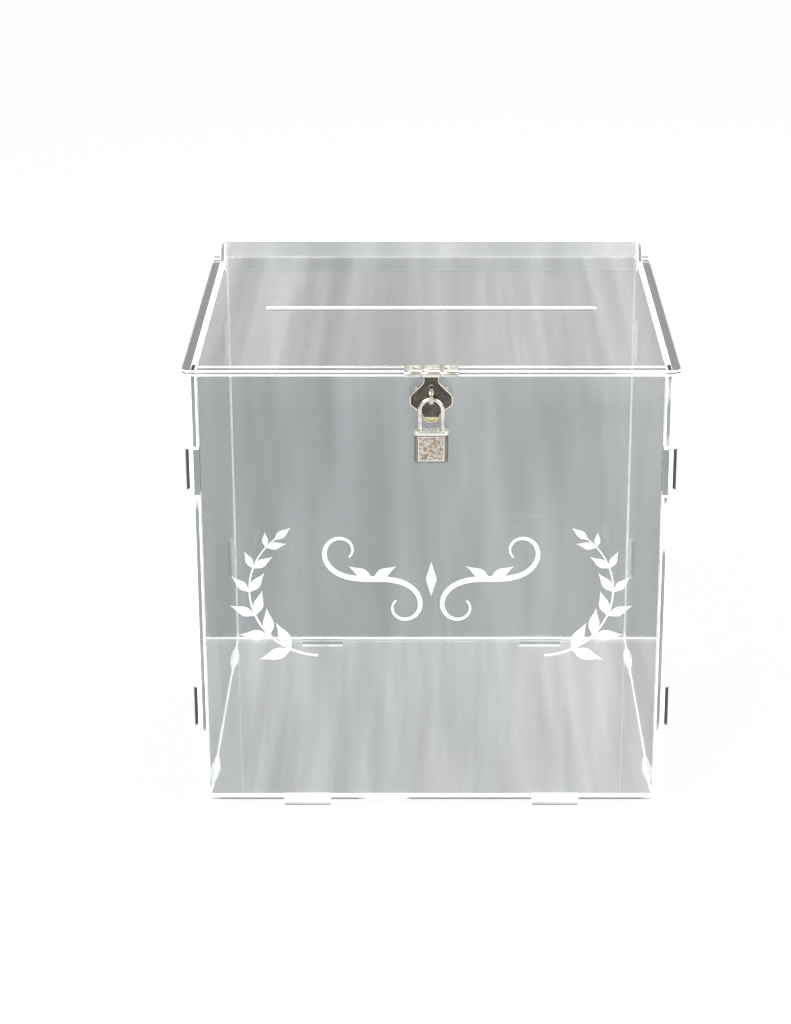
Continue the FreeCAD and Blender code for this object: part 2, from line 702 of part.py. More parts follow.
def scroll(side):
    """A double curl whose bend grows evenly from its middle to its ends, with two leaves over its middle."""
    centre = spot(side * size("scroll_centre_x"), size("scroll_centre_z"))
    x = 0.0
    z = 0.0
    path = [(x, z)]
    for step in range(SCROLL_STEPS):
        heading = SCROLL_TURN * ((step + 0.5) / SCROLL_STEPS) ** 2
        x += math.cos(heading) / SCROLL_STEPS
        z += math.sin(heading) / SCROLL_STEPS
        path.append((x, z))
    reach = size("scroll_reach") / max(point[0] for point in path)
    half = [Vector(side * px * reach, 0, pz * reach) for px, pz in path]
    points = [centre - point for point in reversed(half[1:])] + [centre + point for point in half]
    last = len(points) - 1
    full = size("scroll_width")
    swell = 1 - SCROLL_END_SHARE
    swells = [math.sin(math.pi * index / last) for index in range(last + 1)]
    widths = [full * (SCROLL_END_SHARE + swell * share) for share in swells]
    faces = [ribbon(points, widths)]
    for turn in SCROLL_LEAF_TURNS:
        direction = Vector(side * math.cos(turn), 0, math.sin(turn))
        faces.append(lens(centre, direction, size("scroll_leaf_length"), size("leaf_plumpness")))
    return faces


scroll_middle = spot(0, size("scroll_centre_z"))
lozenge = Part.makePolygon([
    scroll_middle + Vector(0, 0, size("lozenge_height") / 2),
    scroll_middle + Vector(size("lozenge_width") / 2, 0, 0),
    scroll_middle - Vector(0, 0, size("lozenge_height") / 2),
    scroll_middle - Vector(size("lozenge_width") / 2, 0, 0),
    scroll_middle + Vector(0, 0, size("lozenge_height") / 2),
])
film("centre_scroll", [[Part.Face(lozenge)], scroll(-1), scroll(1)])
doc.recompute()

# Every object has to be sound before a file is written
for thing in doc.Objects:
    if "Invalid" in thing.State or "Error" in thing.State:
        raise RuntimeError(f"{thing.Name} did not compute: {thing.State}")
for node in nodes:
    if node.Shape.isNull() or not node.Shape.isValid() or not node.Shape.Solids:
        raise RuntimeError(f"{node.Label} has no sound shape")

os.makedirs("parts", exist_ok=True)
for node in nodes:
    node.Shape.exportStep(os.path.join("parts", f"{node.Label}.step"))
    print(node.Label, len(node.Shape.Solids), round(node.Shape.Volume, 2), node.Shape.BoundBox)
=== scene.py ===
import math

import bmesh
import bpy
import numpy as np
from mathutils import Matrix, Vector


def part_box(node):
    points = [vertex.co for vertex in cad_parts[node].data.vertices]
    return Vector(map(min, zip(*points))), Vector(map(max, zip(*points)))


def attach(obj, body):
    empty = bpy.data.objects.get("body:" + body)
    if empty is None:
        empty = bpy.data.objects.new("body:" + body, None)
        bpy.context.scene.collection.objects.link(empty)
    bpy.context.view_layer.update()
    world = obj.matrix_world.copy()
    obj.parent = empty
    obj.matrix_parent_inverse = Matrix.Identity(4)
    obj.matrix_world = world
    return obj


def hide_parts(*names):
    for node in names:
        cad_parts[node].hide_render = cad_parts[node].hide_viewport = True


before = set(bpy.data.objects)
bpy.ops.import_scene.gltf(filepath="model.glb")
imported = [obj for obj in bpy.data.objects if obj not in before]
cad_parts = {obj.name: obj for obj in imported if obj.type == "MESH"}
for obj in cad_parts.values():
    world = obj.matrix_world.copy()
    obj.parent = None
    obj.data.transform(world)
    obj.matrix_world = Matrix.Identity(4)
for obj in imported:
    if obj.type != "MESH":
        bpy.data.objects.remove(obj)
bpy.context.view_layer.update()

# Walls and floor: five sheets of clear cast acrylic, laser cut so that tabs go through their neighbours.
# The faces are polished and carry soft bands; their grey, set sheet by sheet, is painted shade. The cut
# edges carry painted light, a white glow for light that runs inside a sheet and leaves there, and painted
# shade, a grey core along the front and the rear.
ACRYLIC_IOR = 1.49
EDGE_LIT_WHITE = (0.93, 0.945, 0.94)
EDGE_SHADE_GREY = (0.33, 0.345, 0.345)
EDGE_PAINTED_GLOW = 1.1
EDGE_FACING = 0.5
SLOT_FACING = 0.3
SLOT_SHELF = 0.0003
CORE_START = 0.1
NOTCH_RIM = 0.0013
FAR = 1.0
SHARP = 0.0001


def node_adder(tree):
    """A function that adds a node of a kind to a tree, with its properties set; each of its inputs, by
    name or number, takes another node's output or a value."""
    def add(kind, inputs=(), **properties):
        node = tree.nodes.new(f"ShaderNode{kind}")
        for key, value in properties.items():
            setattr(node, key, value)
        for key, source in dict(inputs).items():
            if isinstance(source, bpy.types.NodeSocket):
                tree.links.new(source, node.inputs[key])
            else:
                node.inputs[key].default_value = source
        return node

    return add


def calc(add, operation, *values):
    """The output of one Math node on some values."""
    return add("Math", enumerate(values), operation=operation).outputs[0]


def new_material(name):
    """A node material, its shader, its links and its node adder."""
    material = bpy.data.materials.new(name)
    material.use_nodes = True
    tree = material.node_tree
    return material, tree.nodes["Principled BSDF"], tree.links, node_adder(tree)


def wear(name, material):
    """Puts one material on a CAD node."""
    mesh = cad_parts[name].data
    mesh.materials.clear()
    mesh.materials.append(material)


def within(add, value, span, soft):
    """One where a value lies inside a span and zero outside it, going over across a softness at both
    ends."""
    first, last = span
    away = calc(add, "ABSOLUTE", calc(add, "SUBTRACT", value, (first + last) / 2))
    half = (last - first) / 2
    return add("MapRange", {"Value": away, "From Min": half + soft, "From Max": half - soft}).outputs[0]


def patched(add, colour, at, patches):
    """The tint and the glow of a sheet's faces once patches of painted light and shade are laid on them, one
    over another: each is a span of |x|, a span of heights, a softness, a tint and a glow."""
    glow = 0.0
    side = calc(add, "ABSOLUTE", at["X"])
    for x_span, z_span, soft, tint, light in patches:
        mask = calc(add, "MULTIPLY", within(add, side, x_span, soft), within(add, at["Z"], z_span, soft))
        colour = add("MixRGB", {0: mask, 1: colour, 2: (*tint, 1)}).outputs[0]
        kept = calc(add, "MULTIPLY", glow, calc(add, "SUBTRACT", 1.0, mask))
        glow = calc(add, "MULTIPLY_ADD", mask, light, kept)
    return colour, glow


def edge_painted_shade(add, at, normal, depth, cloud, core, notches):
    """How much painted shade a cut edge takes: a grey core, given as a half width, a shift across the sheet
    and a lowest height, that comes and goes along the front and the rear; all of the edge across a notch, a
    span of heights, between two rims of painted white light; and a slot's long walls but for the upper rear."""
    half, shift, lowest = core
    along = calc(add, "ABSOLUTE", at["Y"])
    outermost = calc(add, "GREATER_THAN", along, CORE_START)
    above = calc(add, "GREATER_THAN", at["Z"], lowest)
    shown = calc(add, "MULTIPLY", calc(add, "MULTIPLY", outermost, above), cloud)
    grey = calc(add, "MULTIPLY", within(add, depth, (shift - half, shift + half), SHARP), shown)
    for first, last in notches:
        rimmed = within(add, at["Z"], (first - NOTCH_RIM, last + NOTCH_RIM), SHARP)
        filled = calc(add, "MULTIPLY", within(add, at["Z"], (first, last), SHARP), outermost)
        grey = calc(add, "MULTIPLY_ADD", grey, calc(add, "SUBTRACT", 1.0, rimmed), filled)
    inland = calc(add, "LESS_THAN", along, CORE_START / 2)
    crosswise = calc(add, "GREATER_THAN", calc(add, "ABSOLUTE", normal["Y"]), SLOT_FACING)
    rearward = calc(add, "GREATER_THAN", normal["Y"], SLOT_FACING)
    unlit = calc(add, "MAXIMUM", rearward, calc(add, "LESS_THAN", depth, SLOT_SHELF))
    slot = calc(add, "MULTIPLY", calc(add, "MULTIPLY", inland, crosswise), unlit)
    return calc(add, "MAXIMUM", grey, slot)


def acrylic(node, axis, tints, bands, core, patches, notches=()):
    """Clear sheet: glass whose tint, a painted shade, drifts between two in long soft bands and fine
    streaks, under its patches. A face is a cut edge where its normal is square to the sheet's axis; an edge
    is rough and hardly clear, and it carries a painted white glow where it isn't painted grey shade."""
    material, shader, links, add = new_material(f"acrylic_{node}")
    place = add("TexCoord")
    at = add("SeparateXYZ", {0: place.outputs["Object"]}).outputs
    normal = add("SeparateXYZ", {0: place.outputs["Normal"]}).outputs
    stretch = add("Mapping", {"Vector": place.outputs["Object"], "Scale": bands})
    drift = add("TexNoise", {"Vector": stretch.outputs[0], "Scale": 1.0, "Detail": 2.0, "Roughness": 0.5})
    band = add("MapRange", {"Value": drift.outputs["Fac"], "From Min": 0.44, "From Max": 0.64})
    plain, banded = tints
    tint = add("MixRGB", {0: band.outputs[0], 1: (*plain, 1), 2: (*banded, 1)})
    colour, glow = patched(add, tint.outputs[0], at, patches)
    fine = add("Mapping", {"Vector": stretch.outputs[0], "Scale": (3.0, 3.0, 3.0),
                           "Location": (7.0, 3.0, 5.0)})
    streaks = add("TexNoise", {"Vector": fine.outputs[0], "Scale": 1.0, "Detail": 2.0})
    streak = add("MapRange", {"Value": streaks.outputs["Fac"], "From Min": 0.35, "From Max": 0.68,
                              "To Min": 0.90, "To Max": 1.08})
    face = add("VectorMath", {0: colour, "Scale": streak.outputs[0]}, operation="SCALE")
    edge = calc(add, "LESS_THAN", calc(add, "ABSOLUTE", normal[axis]), EDGE_FACING)
    low, high = [corner["XYZ".index(axis)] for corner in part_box(node)]
    depth = calc(add, "SUBTRACT", at[axis], (low + high) / 2)
    clouds = add("TexNoise", {"Vector": place.outputs["Object"], "Scale": 22.0, "Detail": 1.0})
    cloud = add("MapRange", {"Value": clouds.outputs["Fac"], "From Min": 0.27, "From Max": 0.40})
    grey = edge_painted_shade(add, at, normal, depth, cloud.outputs[0], core, notches)
    rim = add("MixRGB", {0: grey, 1: (*EDGE_LIT_WHITE, 1), 2: (*EDGE_SHADE_GREY, 1)})
    painted = add("MixRGB", {0: edge, 1: face.outputs[0], 2: rim.outputs[0]})
    links.new(painted.outputs[0], shader.inputs["Base Color"])
    rough = add("MapRange", {"Value": edge, "To Min": 0.015, "To Max": 0.35})
    links.new(rough.outputs[0], shader.inputs["Roughness"])
    clear = add("MapRange", {"Value": edge, "To Min": 1.0, "To Max": 0.25})
    links.new(clear.outputs[0], shader.inputs["Transmission Weight"])
    # Painted light: a cut edge glows white wherever it isn't painted grey shade.
    white = calc(add, "MULTIPLY", edge, calc(add, "SUBTRACT", 1.0, grey))
    bright = calc(add, "MAXIMUM", calc(add, "MULTIPLY", white, EDGE_PAINTED_GLOW), glow)
    links.new(bright, shader.inputs["Emission Strength"])
    shader.inputs["Emission Color"].default_value = (1, 1, 1, 1)
    shader.inputs["IOR"].default_value = ACRYLIC_IOR
    return material


THIN_CORE = 0.0007
WIDE_CORE = 0.0010
SIDE_CORE_SHIFT = 0.0003
# Painted shade: each sheet's two tints give the tone it takes in its surroundings, paler on the floor,
# darker on the walls.
FLOOR_SHADE_TINTS = ((0.86, 0.87, 0.845), (0.95, 0.955, 0.94))
FLOOR_BANDS = (24.0, 1.2, 1.0)
floor_core = (THIN_CORE, -THIN_CORE, 0.0)
wear("floor_panel", acrylic("floor_panel", "Z", FLOOR_SHADE_TINTS, FLOOR_BANDS, floor_core, []))
SIDE_SHADE_TINTS = ((0.66, 0.68, 0.685), (0.74, 0.75, 0.75))
SIDE_BANDS = (1.0, 12.0, 1.0)
LOWER_TAB = (0.0496, 0.0756)
UPPER_TAB = (0.1896, 0.2156)
for wall, outward in (("left_panel", -1), ("right_panel", 1)):
    side_core = (WIDE_CORE, outward * SIDE_CORE_SHIFT, LOWER_TAB[0])
    wear(wall, acrylic(wall, "X", SIDE_SHADE_TINTS, SIDE_BANDS, side_core, [], [UPPER_TAB]))
# Painted light and shade on tabs and feet: glowing white where light catches them, grey lines and dark
# cores.
PAINTED_LIGHT_WHITE = (0.95, 0.95, 0.95)
TAB_SHADE_LINE = (0.42, 0.43, 0.43)
TAB_SHADE_CORE = (0.06, 0.065, 0.065)
FOOT_LIGHT_TINT = (0.92, 0.925, 0.92)
FOOT_SHADE_LINE = (0.38, 0.39, 0.39)
TAB_GLOW = 0.75
TAB_LINE_GLOW = 0.1
FOOT_GLOW = 0.15
BACK_FOOT_GLOW = 0.2
TAB_LINE_WIDTH = 0.0006
TAB_CORE_ENDS = (0.0020, 0.0002)
TAB_CORE_INSET = 0.0014
FOOT_SPAN = (0.0567, 0.0827)
FOOT_WHITE_OVER = 0.0002
FRONT_LINE_TOP = 0.0019
BACK_LINE = (0.0014, 0.0029)
between_walls = (0.0, 0.12)
any_height = (0.0, FAR)
past_walls = (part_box("right_panel")[1].x + SHARP, FAR)
tab_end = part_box("front_panel")[1].x
tab_core = [tab_end - inset for inset in TAB_CORE_ENDS]
floor_under, floor_over = [corner.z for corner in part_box("floor_panel")]
end_marks = [
    (past_walls, any_height, SHARP, PAINTED_LIGHT_WHITE, TAB_GLOW),
    ((tab_end - TAB_LINE_WIDTH, FAR), any_height, SHARP, TAB_SHADE_LINE, TAB_LINE_GLOW),
]
for first, last in (LOWER_TAB, UPPER_TAB):
    end_marks.append((tab_core, (first + TAB_CORE_INSET, last - TAB_CORE_INSET), SHARP, TAB_SHADE_CORE, 0.0))
end_marks += [
    (between_walls, (-FAR, floor_under), SHARP, FOOT_LIGHT_TINT, FOOT_GLOW),
    (FOOT_SPAN, (floor_under, floor_over + FOOT_WHITE_OVER), SHARP, PAINTED_LIGHT_WHITE, TAB_GLOW),
]
# Painted shade in the tints of the back and front sheets.
BACK_SHADE_TINTS = ((0.60, 0.625, 0.608), (0.74, 0.755, 0.74))
# Painted shade: the back panel is darker below a height, going over softly.
BACK_LOW_SHADE = (0.535, 0.560, 0.570)
BACK_SHADE_TOP = 0.178
BACK_SHADE_SOFT = 0.018
FRONT_SHADE_TINTS = ((0.655, 0.675, 0.675), (0.78, 0.79, 0.78))
END_BANDS = (15.0, 1.0, 2.2)
even_core = (THIN_CORE, 0.0, 0.0)
back_marks = [
    ((-FAR, FAR), (-FAR, BACK_SHADE_TOP), BACK_SHADE_SOFT, BACK_LOW_SHADE, 0.0),
    *end_marks,
    (between_walls, BACK_LINE, SHARP, FOOT_SHADE_LINE, 0.0),
    (between_walls, (-FAR, BACK_LINE[0]), SHARP, PAINTED_LIGHT_WHITE, BACK_FOOT_GLOW),
]
wear("back_panel", acrylic("back_panel", "Y", BACK_SHADE_TINTS, END_BANDS, even_core, back_marks))
front_marks = [*end_marks, (between_walls, (-FAR, FRONT_LINE_TOP), SHARP, FOOT_SHADE_LINE, 0.0)]
wear("front_panel", acrylic("front_panel", "Y", FRONT_SHADE_TINTS, END_BANDS, even_core, front_marks))

# Cement: the solvent cement that joins floor and walls, left as a thin fillet along the inside joints.
# It dries clear; the white line where it catches the light is painted light, and it pools where the side
# walls' feet go through.
CEMENT_LIT_WHITE = (0.93, 0.94, 0.935)
CEMENT_LIT_PALE = (0.80, 0.815, 0.81)
CEMENT_PAINTED_GLOW = 1.25
UPRIGHT_GLOW = 0.45
UPRIGHT_LEVELS = (0.009, 0.011)
BACK_FILLET = 0.8
SIDE_FILLET = 0.28
CORNER_FILLET = 0.55
CORNER_STOP = 0.4
FILLET_STATIONS = 160
POOL_REACH = 2.3
POOL_RISE = 0.4
POOL_HALF = 19.0
FOOT_INSET = 38.5
SHARP_ANGLE = math.radians(38)
UP = (0, 0, 1)
FORWARD = (0, -1, 0)


def place_of(node):
    """Lowest and highest corner of a CAD node, in millimetres."""
    return [np.array(corner) * 1000 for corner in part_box(node)]


def new_piece(name, sheets, body, material, slot, *stands_for):
    """One mesh from grids of points in millimetres: neighbours on a grid make a four-sided face, points
    that meet are merged, so seams and poles close, and the faces are turned outwards."""
    starts = np.cumsum([0] + [sheet.shape[0] * sheet.shape[1] for sheet in sheets])
    faces = []
    for start, sheet in zip(starts, sheets):
        index = start + np.arange(sheet.shape[0] * sheet.shape[1]).reshape(sheet.shape[:2])
        corners = [index[:-1, :-1], index[:-1, 1:], index[1:, 1:], index[1:, :-1]]
        faces.append(np.stack(corners, axis=-1).reshape(-1, 4))
    points = np.concatenate([sheet.reshape(-1, 3) for sheet in sheets]) / 1000
    mesh = bpy.data.meshes.new(name)
    mesh.from_pydata(points.tolist(), [], np.concatenate(faces).tolist())
    work = bmesh.new()
    work.from_mesh(mesh)
    bmesh.ops.remove_doubles(work, verts=work.verts, dist=2e-6)
    bmesh.ops.dissolve_degenerate(work, edges=work.edges, dist=1e-7)
    bmesh.ops.recalc_face_normals(work, faces=work.faces)
    work.to_mesh(mesh)
    work.free()
    mesh.shade_smooth()
    mesh.set_sharp_from_angle(angle=SHARP_ANGLE)
    mesh.materials.append(material)
    piece = bpy.data.objects.new(name, mesh)
    bpy.context.scene.collection.objects.link(piece)
    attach(piece, body)
    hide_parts(*stands_for)


def filled_ends(rings, middles):
    """Closes a tube: each point of its first and its last ring is joined to that ring's middle."""
    return [np.stack([rings[end], np.broadcast_to(middles[end], rings[end].shape)]) for end in (0, -1)]


def fillet(start, end, first_way, second_way, size, pools):
    """A fillet along a straight inside joint: at each station a corner whose two legs lie on the two
    faces and whose third side is a hollow quarter of an ellipse. Its legs swell smoothly at the pools'
    middles."""
    run = np.linspace(0, 1, FILLET_STATIONS)[:, None]
    line = np.array(start) + run * (np.array(end) - np.array(start))
    along = run[:, 0] * np.linalg.norm(np.array(end) - np.array(start))
    swell = np.zeros(FILLET_STATIONS)
    for middle in pools:
        swell = swell + np.clip(1 - ((along - middle) / POOL_HALF) ** 2, 0, 1) ** 1.5
    turn = np.linspace(0, math.pi / 2, 9)
    hollow = np.column_stack([1 - np.sin(turn), 1 - np.cos(turn)])
    profile = np.concatenate([[(0, 0)], hollow, [(0, 0)]])
    first_leg = (size + POOL_REACH * swell)[:, None, None] * profile[None, :, :1] * np.array(first_way)
    second_leg = (size + POOL_RISE * swell)[:, None, None] * profile[None, :, 1:] * np.array(second_way)
    rings = line[:, None] + first_leg + second_leg
    return [rings, *filled_ends(rings, line)]


def cement_painted_light():
    """Dried cement: painted white with paler clouds, a rough skin, and a painted glow for the light it
    catches, which is weaker up the corners of the walls."""
    material, shader, links, add = new_material("cement_painted_white")
    place = add("TexCoord")
    cloud = add("TexNoise", {"Vector": place.outputs["Object"], "Scale": 160.0, "Detail": 2.0})
    tone = add("MixRGB", {0: cloud.outputs["Fac"], 1: (*CEMENT_LIT_WHITE, 1), 2: (*CEMENT_LIT_PALE, 1)})
    links.new(tone.outputs[0], shader.inputs["Base Color"])
    skin = add("MapRange", {"Value": cloud.outputs["Fac"], "To Min": 0.25, "To Max": 0.6})
    links.new(skin.outputs[0], shader.inputs["Roughness"])
    glow = add("MapRange", {"Value": cloud.outputs["Fac"], "From Min": 0.3, "From Max": 0.7,
                            "To Min": CEMENT_PAINTED_GLOW * 0.7, "To Max": CEMENT_PAINTED_GLOW * 1.2})
    at = add("SeparateXYZ", {0: place.outputs["Object"]})
    first, last = UPRIGHT_LEVELS
    upright = add("MapRange", {"Value": at.outputs["Z"], "From Min": first, "From Max": last,
                               "To Min": 1.0, "To Max": UPRIGHT_GLOW})
    # Painted light: the cement's glow.
    lit = calc(add, "MULTIPLY", glow.outputs[0], upright.outputs[0])
    links.new(lit, shader.inputs["Emission Strength"])
    shader.inputs["Emission Color"].default_value = (1, 1, 1, 1)
    return material


floor_top = place_of("floor_panel")[1][2]
wall_x = -place_of("left_panel")[1][0]
front_y = place_of("front_panel")[1][1]
back_y = place_of("back_panel")[0][1]
corner_top = place_of("front_panel")[1][2] - CORNER_STOP
side_front, side_rear = [corner[1] for corner in place_of("left_panel")]
pools = (side_front + FOOT_INSET - front_y, side_rear - FOOT_INSET - front_y)
beads = fillet((-wall_x, back_y, floor_top), (wall_x, back_y, floor_top), FORWARD, UP, BACK_FILLET, ())
for side in (-1, 1):
    inward = (-side, 0, 0)
    front_foot = (side * wall_x, front_y, floor_top)
    back_foot = (side * wall_x, back_y, floor_top)
    back_head = (side * wall_x, back_y, corner_top)
    beads += fillet(back_foot, back_head, FORWARD, inward, CORNER_FILLET, ())
    beads += fillet(front_foot, back_foot, inward, UP, SIDE_FILLET, pools)
new_piece("joint_cement", beads, "box", cement_painted_light(), "clear_acrylic")

# Lid: one more sheet of the same acrylic, with the card slot through it and a peg at each rear corner.
# Its bands run from front to back, and the strip that stands out past the walls is painted dark, a painted
# shade.
LID_SHADE_TINTS = ((0.67, 0.68, 0.672), (0.88, 0.885, 0.875))
LID_STRIP_SHADE = (0.27, 0.285, 0.28)
LID_BANDS = (30.0, 1.0, 1.0)
lid_strip_shade = (past_walls, any_height, SHARP, LID_STRIP_SHADE, 0.0)
wear("lid_panel", acrylic("lid_panel", "Z", LID_SHADE_TINTS, LID_BANDS, even_core, [lid_strip_shade]))

# Front decoration: two laurel sprigs and a scroll cut from white film and stuck on the front panel. The
# film is satin, with the faint orange peel that soft vinyl has, and it carries a painted glow, so that it
# also looks white from inside the box.
FILM_WHITE = (0.42, 0.425, 0.42)
FILM_PALE = (0.48, 0.48, 0.475)
FILM_PAINTED_GLOW = 0.6


def film_finish():
    """White film: a fine mottle drives both its tone and its orange-peel bump, and a painted glow lights it.
    """
    material, shader, links, add = new_material("white_film")
    place = add("TexCoord")
    mottle = add("TexNoise", {"Vector": place.outputs["Object"], "Scale": 900.0, "Detail": 2.0})
    tone = add("MixRGB", {0: mottle.outputs["Fac"], 1: (*FILM_WHITE, 1), 2: (*FILM_PALE, 1)})
    links.new(tone.outputs[0], shader.inputs["Base Color"])
    peel = add("Bump", {"Height": mottle.outputs["Fac"], "Distance": 0.00005, "Strength": 0.3})
    links.new(peel.outputs[0], shader.inputs["Normal"])
    gloss = add("MapRange", {"Value": mottle.outputs["Fac"], "To Min": 0.35, "To Max": 0.55})
    links.new(gloss.outputs[0], shader.inputs["Roughness"])
    # Painted light: the film glows so that it looks white from inside the box.
    shader.inputs["Emission Color"].default_value = (1, 1, 1, 1)
    shader.inputs["Emission Strength"].default_value = FILM_PAINTED_GLOW
    return material


vinyl = film_finish()
for cutout in ("laurel_left", "laurel_right", "centre_scroll"):
    wear(cutout, vinyl)

# Hasp lid leaf: plated sheet screwed to the lid, its two outer ends rolled into knuckles round the pin.
# It is bright and creamy, with smears of handling in its gloss.
LEAF_SHEET = 0.8
KNUCKLE_SPLIT = 4.9
ROLL_SEAM = math.radians(40)
EDGE_BULGE = 0.7
STRIP_END_STEPS = np.array([0.0, 0.06, 0.2])
STRIP_END_INSETS = np.array([0.25, 0.08, 0.0])
LID_LEAF_CREAM = (0.80, 0.78, 0.70)
LID_LEAF_SHADE = (0.60, 0.58, 0.50)


def plating(name, bright, dull, roughness, grain):
    """Plated metal: clouds of duller tone, smears in its gloss and fine polishing scratches in its bump,
    whose scale along each axis is the grain."""
    material, shader, links, add = new_material(name)
    place = add("TexCoord")
    cloud = add("TexNoise", {"Vector": place.outputs["Object"], "Scale": 260.0, "Detail": 3.0})
    worn = add("MapRange", {"Value": cloud.outputs["Fac"], "From Min": 0.40, "From Max": 0.72})
    tone = add("MixRGB", {0: worn.outputs[0], 1: (*bright, 1), 2: (*dull, 1)})
    links.new(tone.outputs[0], shader.inputs["Base Color"])
    smear = add("TexNoise", {"Vector": place.outputs["Object"], "Scale": 700.0, "Detail": 4.0})
    gloss = add("MapRange", {"Value": smear.outputs["Fac"], "From Min": 0.3, "From Max": 0.7,
                             "To Min": roughness * 0.6, "To Max": roughness * 1.5})
    links.new(gloss.outputs[0], shader.inputs["Roughness"])
    drawn = add("Mapping", {"Vector": place.outputs["Object"], "Scale": grain})
    scratch = add("TexNoise", {"Vector": drawn.outputs[0], "Scale": 1.0, "Detail": 2.0})
    brush = add("Bump", {"Height": scratch.outputs["Fac"], "Distance": 0.00002, "Strength": 0.35})
    links.new(brush.outputs[0], shader.inputs["Normal"])
    shader.inputs["Metallic"].default_value = 1.0
    return material


def closed_strip(line, thickness):
    """The outline of a bent sheet in its own plane: a middle line moved half the thickness to one side, a
    half round at its end, the line moved to the other side, and a half round back to the start."""
    ahead = np.gradient(line, axis=0)
    ahead /= np.linalg.norm(ahead, axis=1, keepdims=True)
    out = np.column_stack([-ahead[:, 1], ahead[:, 0]])
    half = thickness / 2
    turn = np.linspace(math.pi / 2, -math.pi / 2, 9)[:, None]
    tip = line[-1] + half * (np.sin(turn) * out[-1] + EDGE_BULGE * np.cos(turn) * ahead[-1])
    tail = line[0] - half * (np.sin(turn) * out[0] + EDGE_BULGE * np.cos(turn) * ahead[0])
    over, under = line + half * out, line - half * out
    return np.concatenate([over, tip, under[::-1], tail, over[:1]])


def end_fill(ring, middle_line):
    """Fills the end of a bent strip: every outline point is joined to its nearest point on the middle
    line."""
    distance = np.linalg.norm(ring[:, None, 1:] - middle_line[None], axis=2)
    nearest = middle_line[distance.argmin(axis=1)]
    inner = np.column_stack([ring[:, 0], nearest])
    return np.stack([ring, inner])


pin_low, pin_high = place_of("hasp_pin")
barrel_y, barrel_z = ((pin_low + pin_high) / 2)[1:]
leaf_low, leaf_high = place_of("hasp_lid_leaf")
plate_middle_z = leaf_high[2] - LEAF_SHEET / 2
plate_front = place_of("lid_panel")[0][1] + LEAF_SHEET / 2
roll_radius = plate_middle_z - barrel_z


def leaf_strip(first_x, last_x, rolled):
    """One strip of the lid leaf: its section runs forward along the lid and, where it holds the pin, on
    round the barrel as an arc; the section is carried along x and thins at both ends, which softens
    them."""
    flat = np.linspace(leaf_high[1] - LEAF_SHEET / 2, barrel_y if rolled else plate_front, 24)
    line = np.column_stack([flat, np.full_like(flat, plate_middle_z)])
    if rolled:
        angle = np.linspace(math.pi / 2, 2 * math.pi - ROLL_SEAM, 48)[1:]
        curl = roll_radius * np.column_stack([np.cos(angle), np.sin(angle)])
        line = np.concatenate([line, curl + (barrel_y, barrel_z)])
    stations = np.concatenate([first_x + STRIP_END_STEPS, last_x - STRIP_END_STEPS[::-1]])
    insets = np.concatenate([STRIP_END_INSETS, STRIP_END_INSETS[::-1]])
    rings = []
    for station, inset in zip(stations, insets):
        outline = closed_strip(line, LEAF_SHEET - 2 * inset)
        rings.append(np.column_stack([np.full(len(outline), station), outline]))
    rings = np.stack(rings)
    return [rings, end_fill(rings[0], line), end_fill(rings[-1], line)]


lid_leaf_metal = plating("lid_leaf_plate", LID_LEAF_CREAM, LID_LEAF_SHADE, 0.2, (4000.0, 300.0, 300.0))
lid_leaf_sheets = (
    leaf_strip(leaf_low[0], -KNUCKLE_SPLIT, True)
    + leaf_strip(-KNUCKLE_SPLIT, KNUCKLE_SPLIT, False)
    + leaf_strip(KNUCKLE_SPLIT, leaf_high[0], True)
)
new_piece("hasp_lid_leaf_rolled", lid_leaf_sheets, "lid", lid_leaf_metal, "hasp_plating", "hasp_lid_leaf")

# Hasp pin: a plain drawn rod through the three knuckles, cut flush with their ends.
# It is steel, a little greyer than the plated leaves, with fine lines along it from the drawing.
PIN_STEEL = (0.62, 0.60, 0.54)
PIN_DULL = (0.42, 0.41, 0.37)
wear("hasp_pin", plating("pin_steel", PIN_STEEL, PIN_DULL, 0.25, (300.0, 5000.0, 5000.0)))

# Hasp screws and staple screws: small domed machine screws with one driving slot and rolled threads.
# The nuts under the sheet are plain hexagons of bright steel.
HEAD_RADIUS = 1.6
HEAD_CROWN = 0.42
HEAD_LEAST = 0.08
SCREW_SHANK = 0.8
THREAD_PITCH = 0.4
THREAD_DEPTH = 0.07
SLOT_HALF = 0.24
SLOT_DEEP = 0.38
SLOT_SOFT = 0.08
ROUND_STEPS = 65
SCREW_CREAM = (0.80, 0.77, 0.68)
SCREW_DULL = (0.50, 0.48, 0.42)
NUT_BRIGHT = (0.70, 0.70, 0.68)
NUT_DULL = (0.48, 0.48, 0.47)


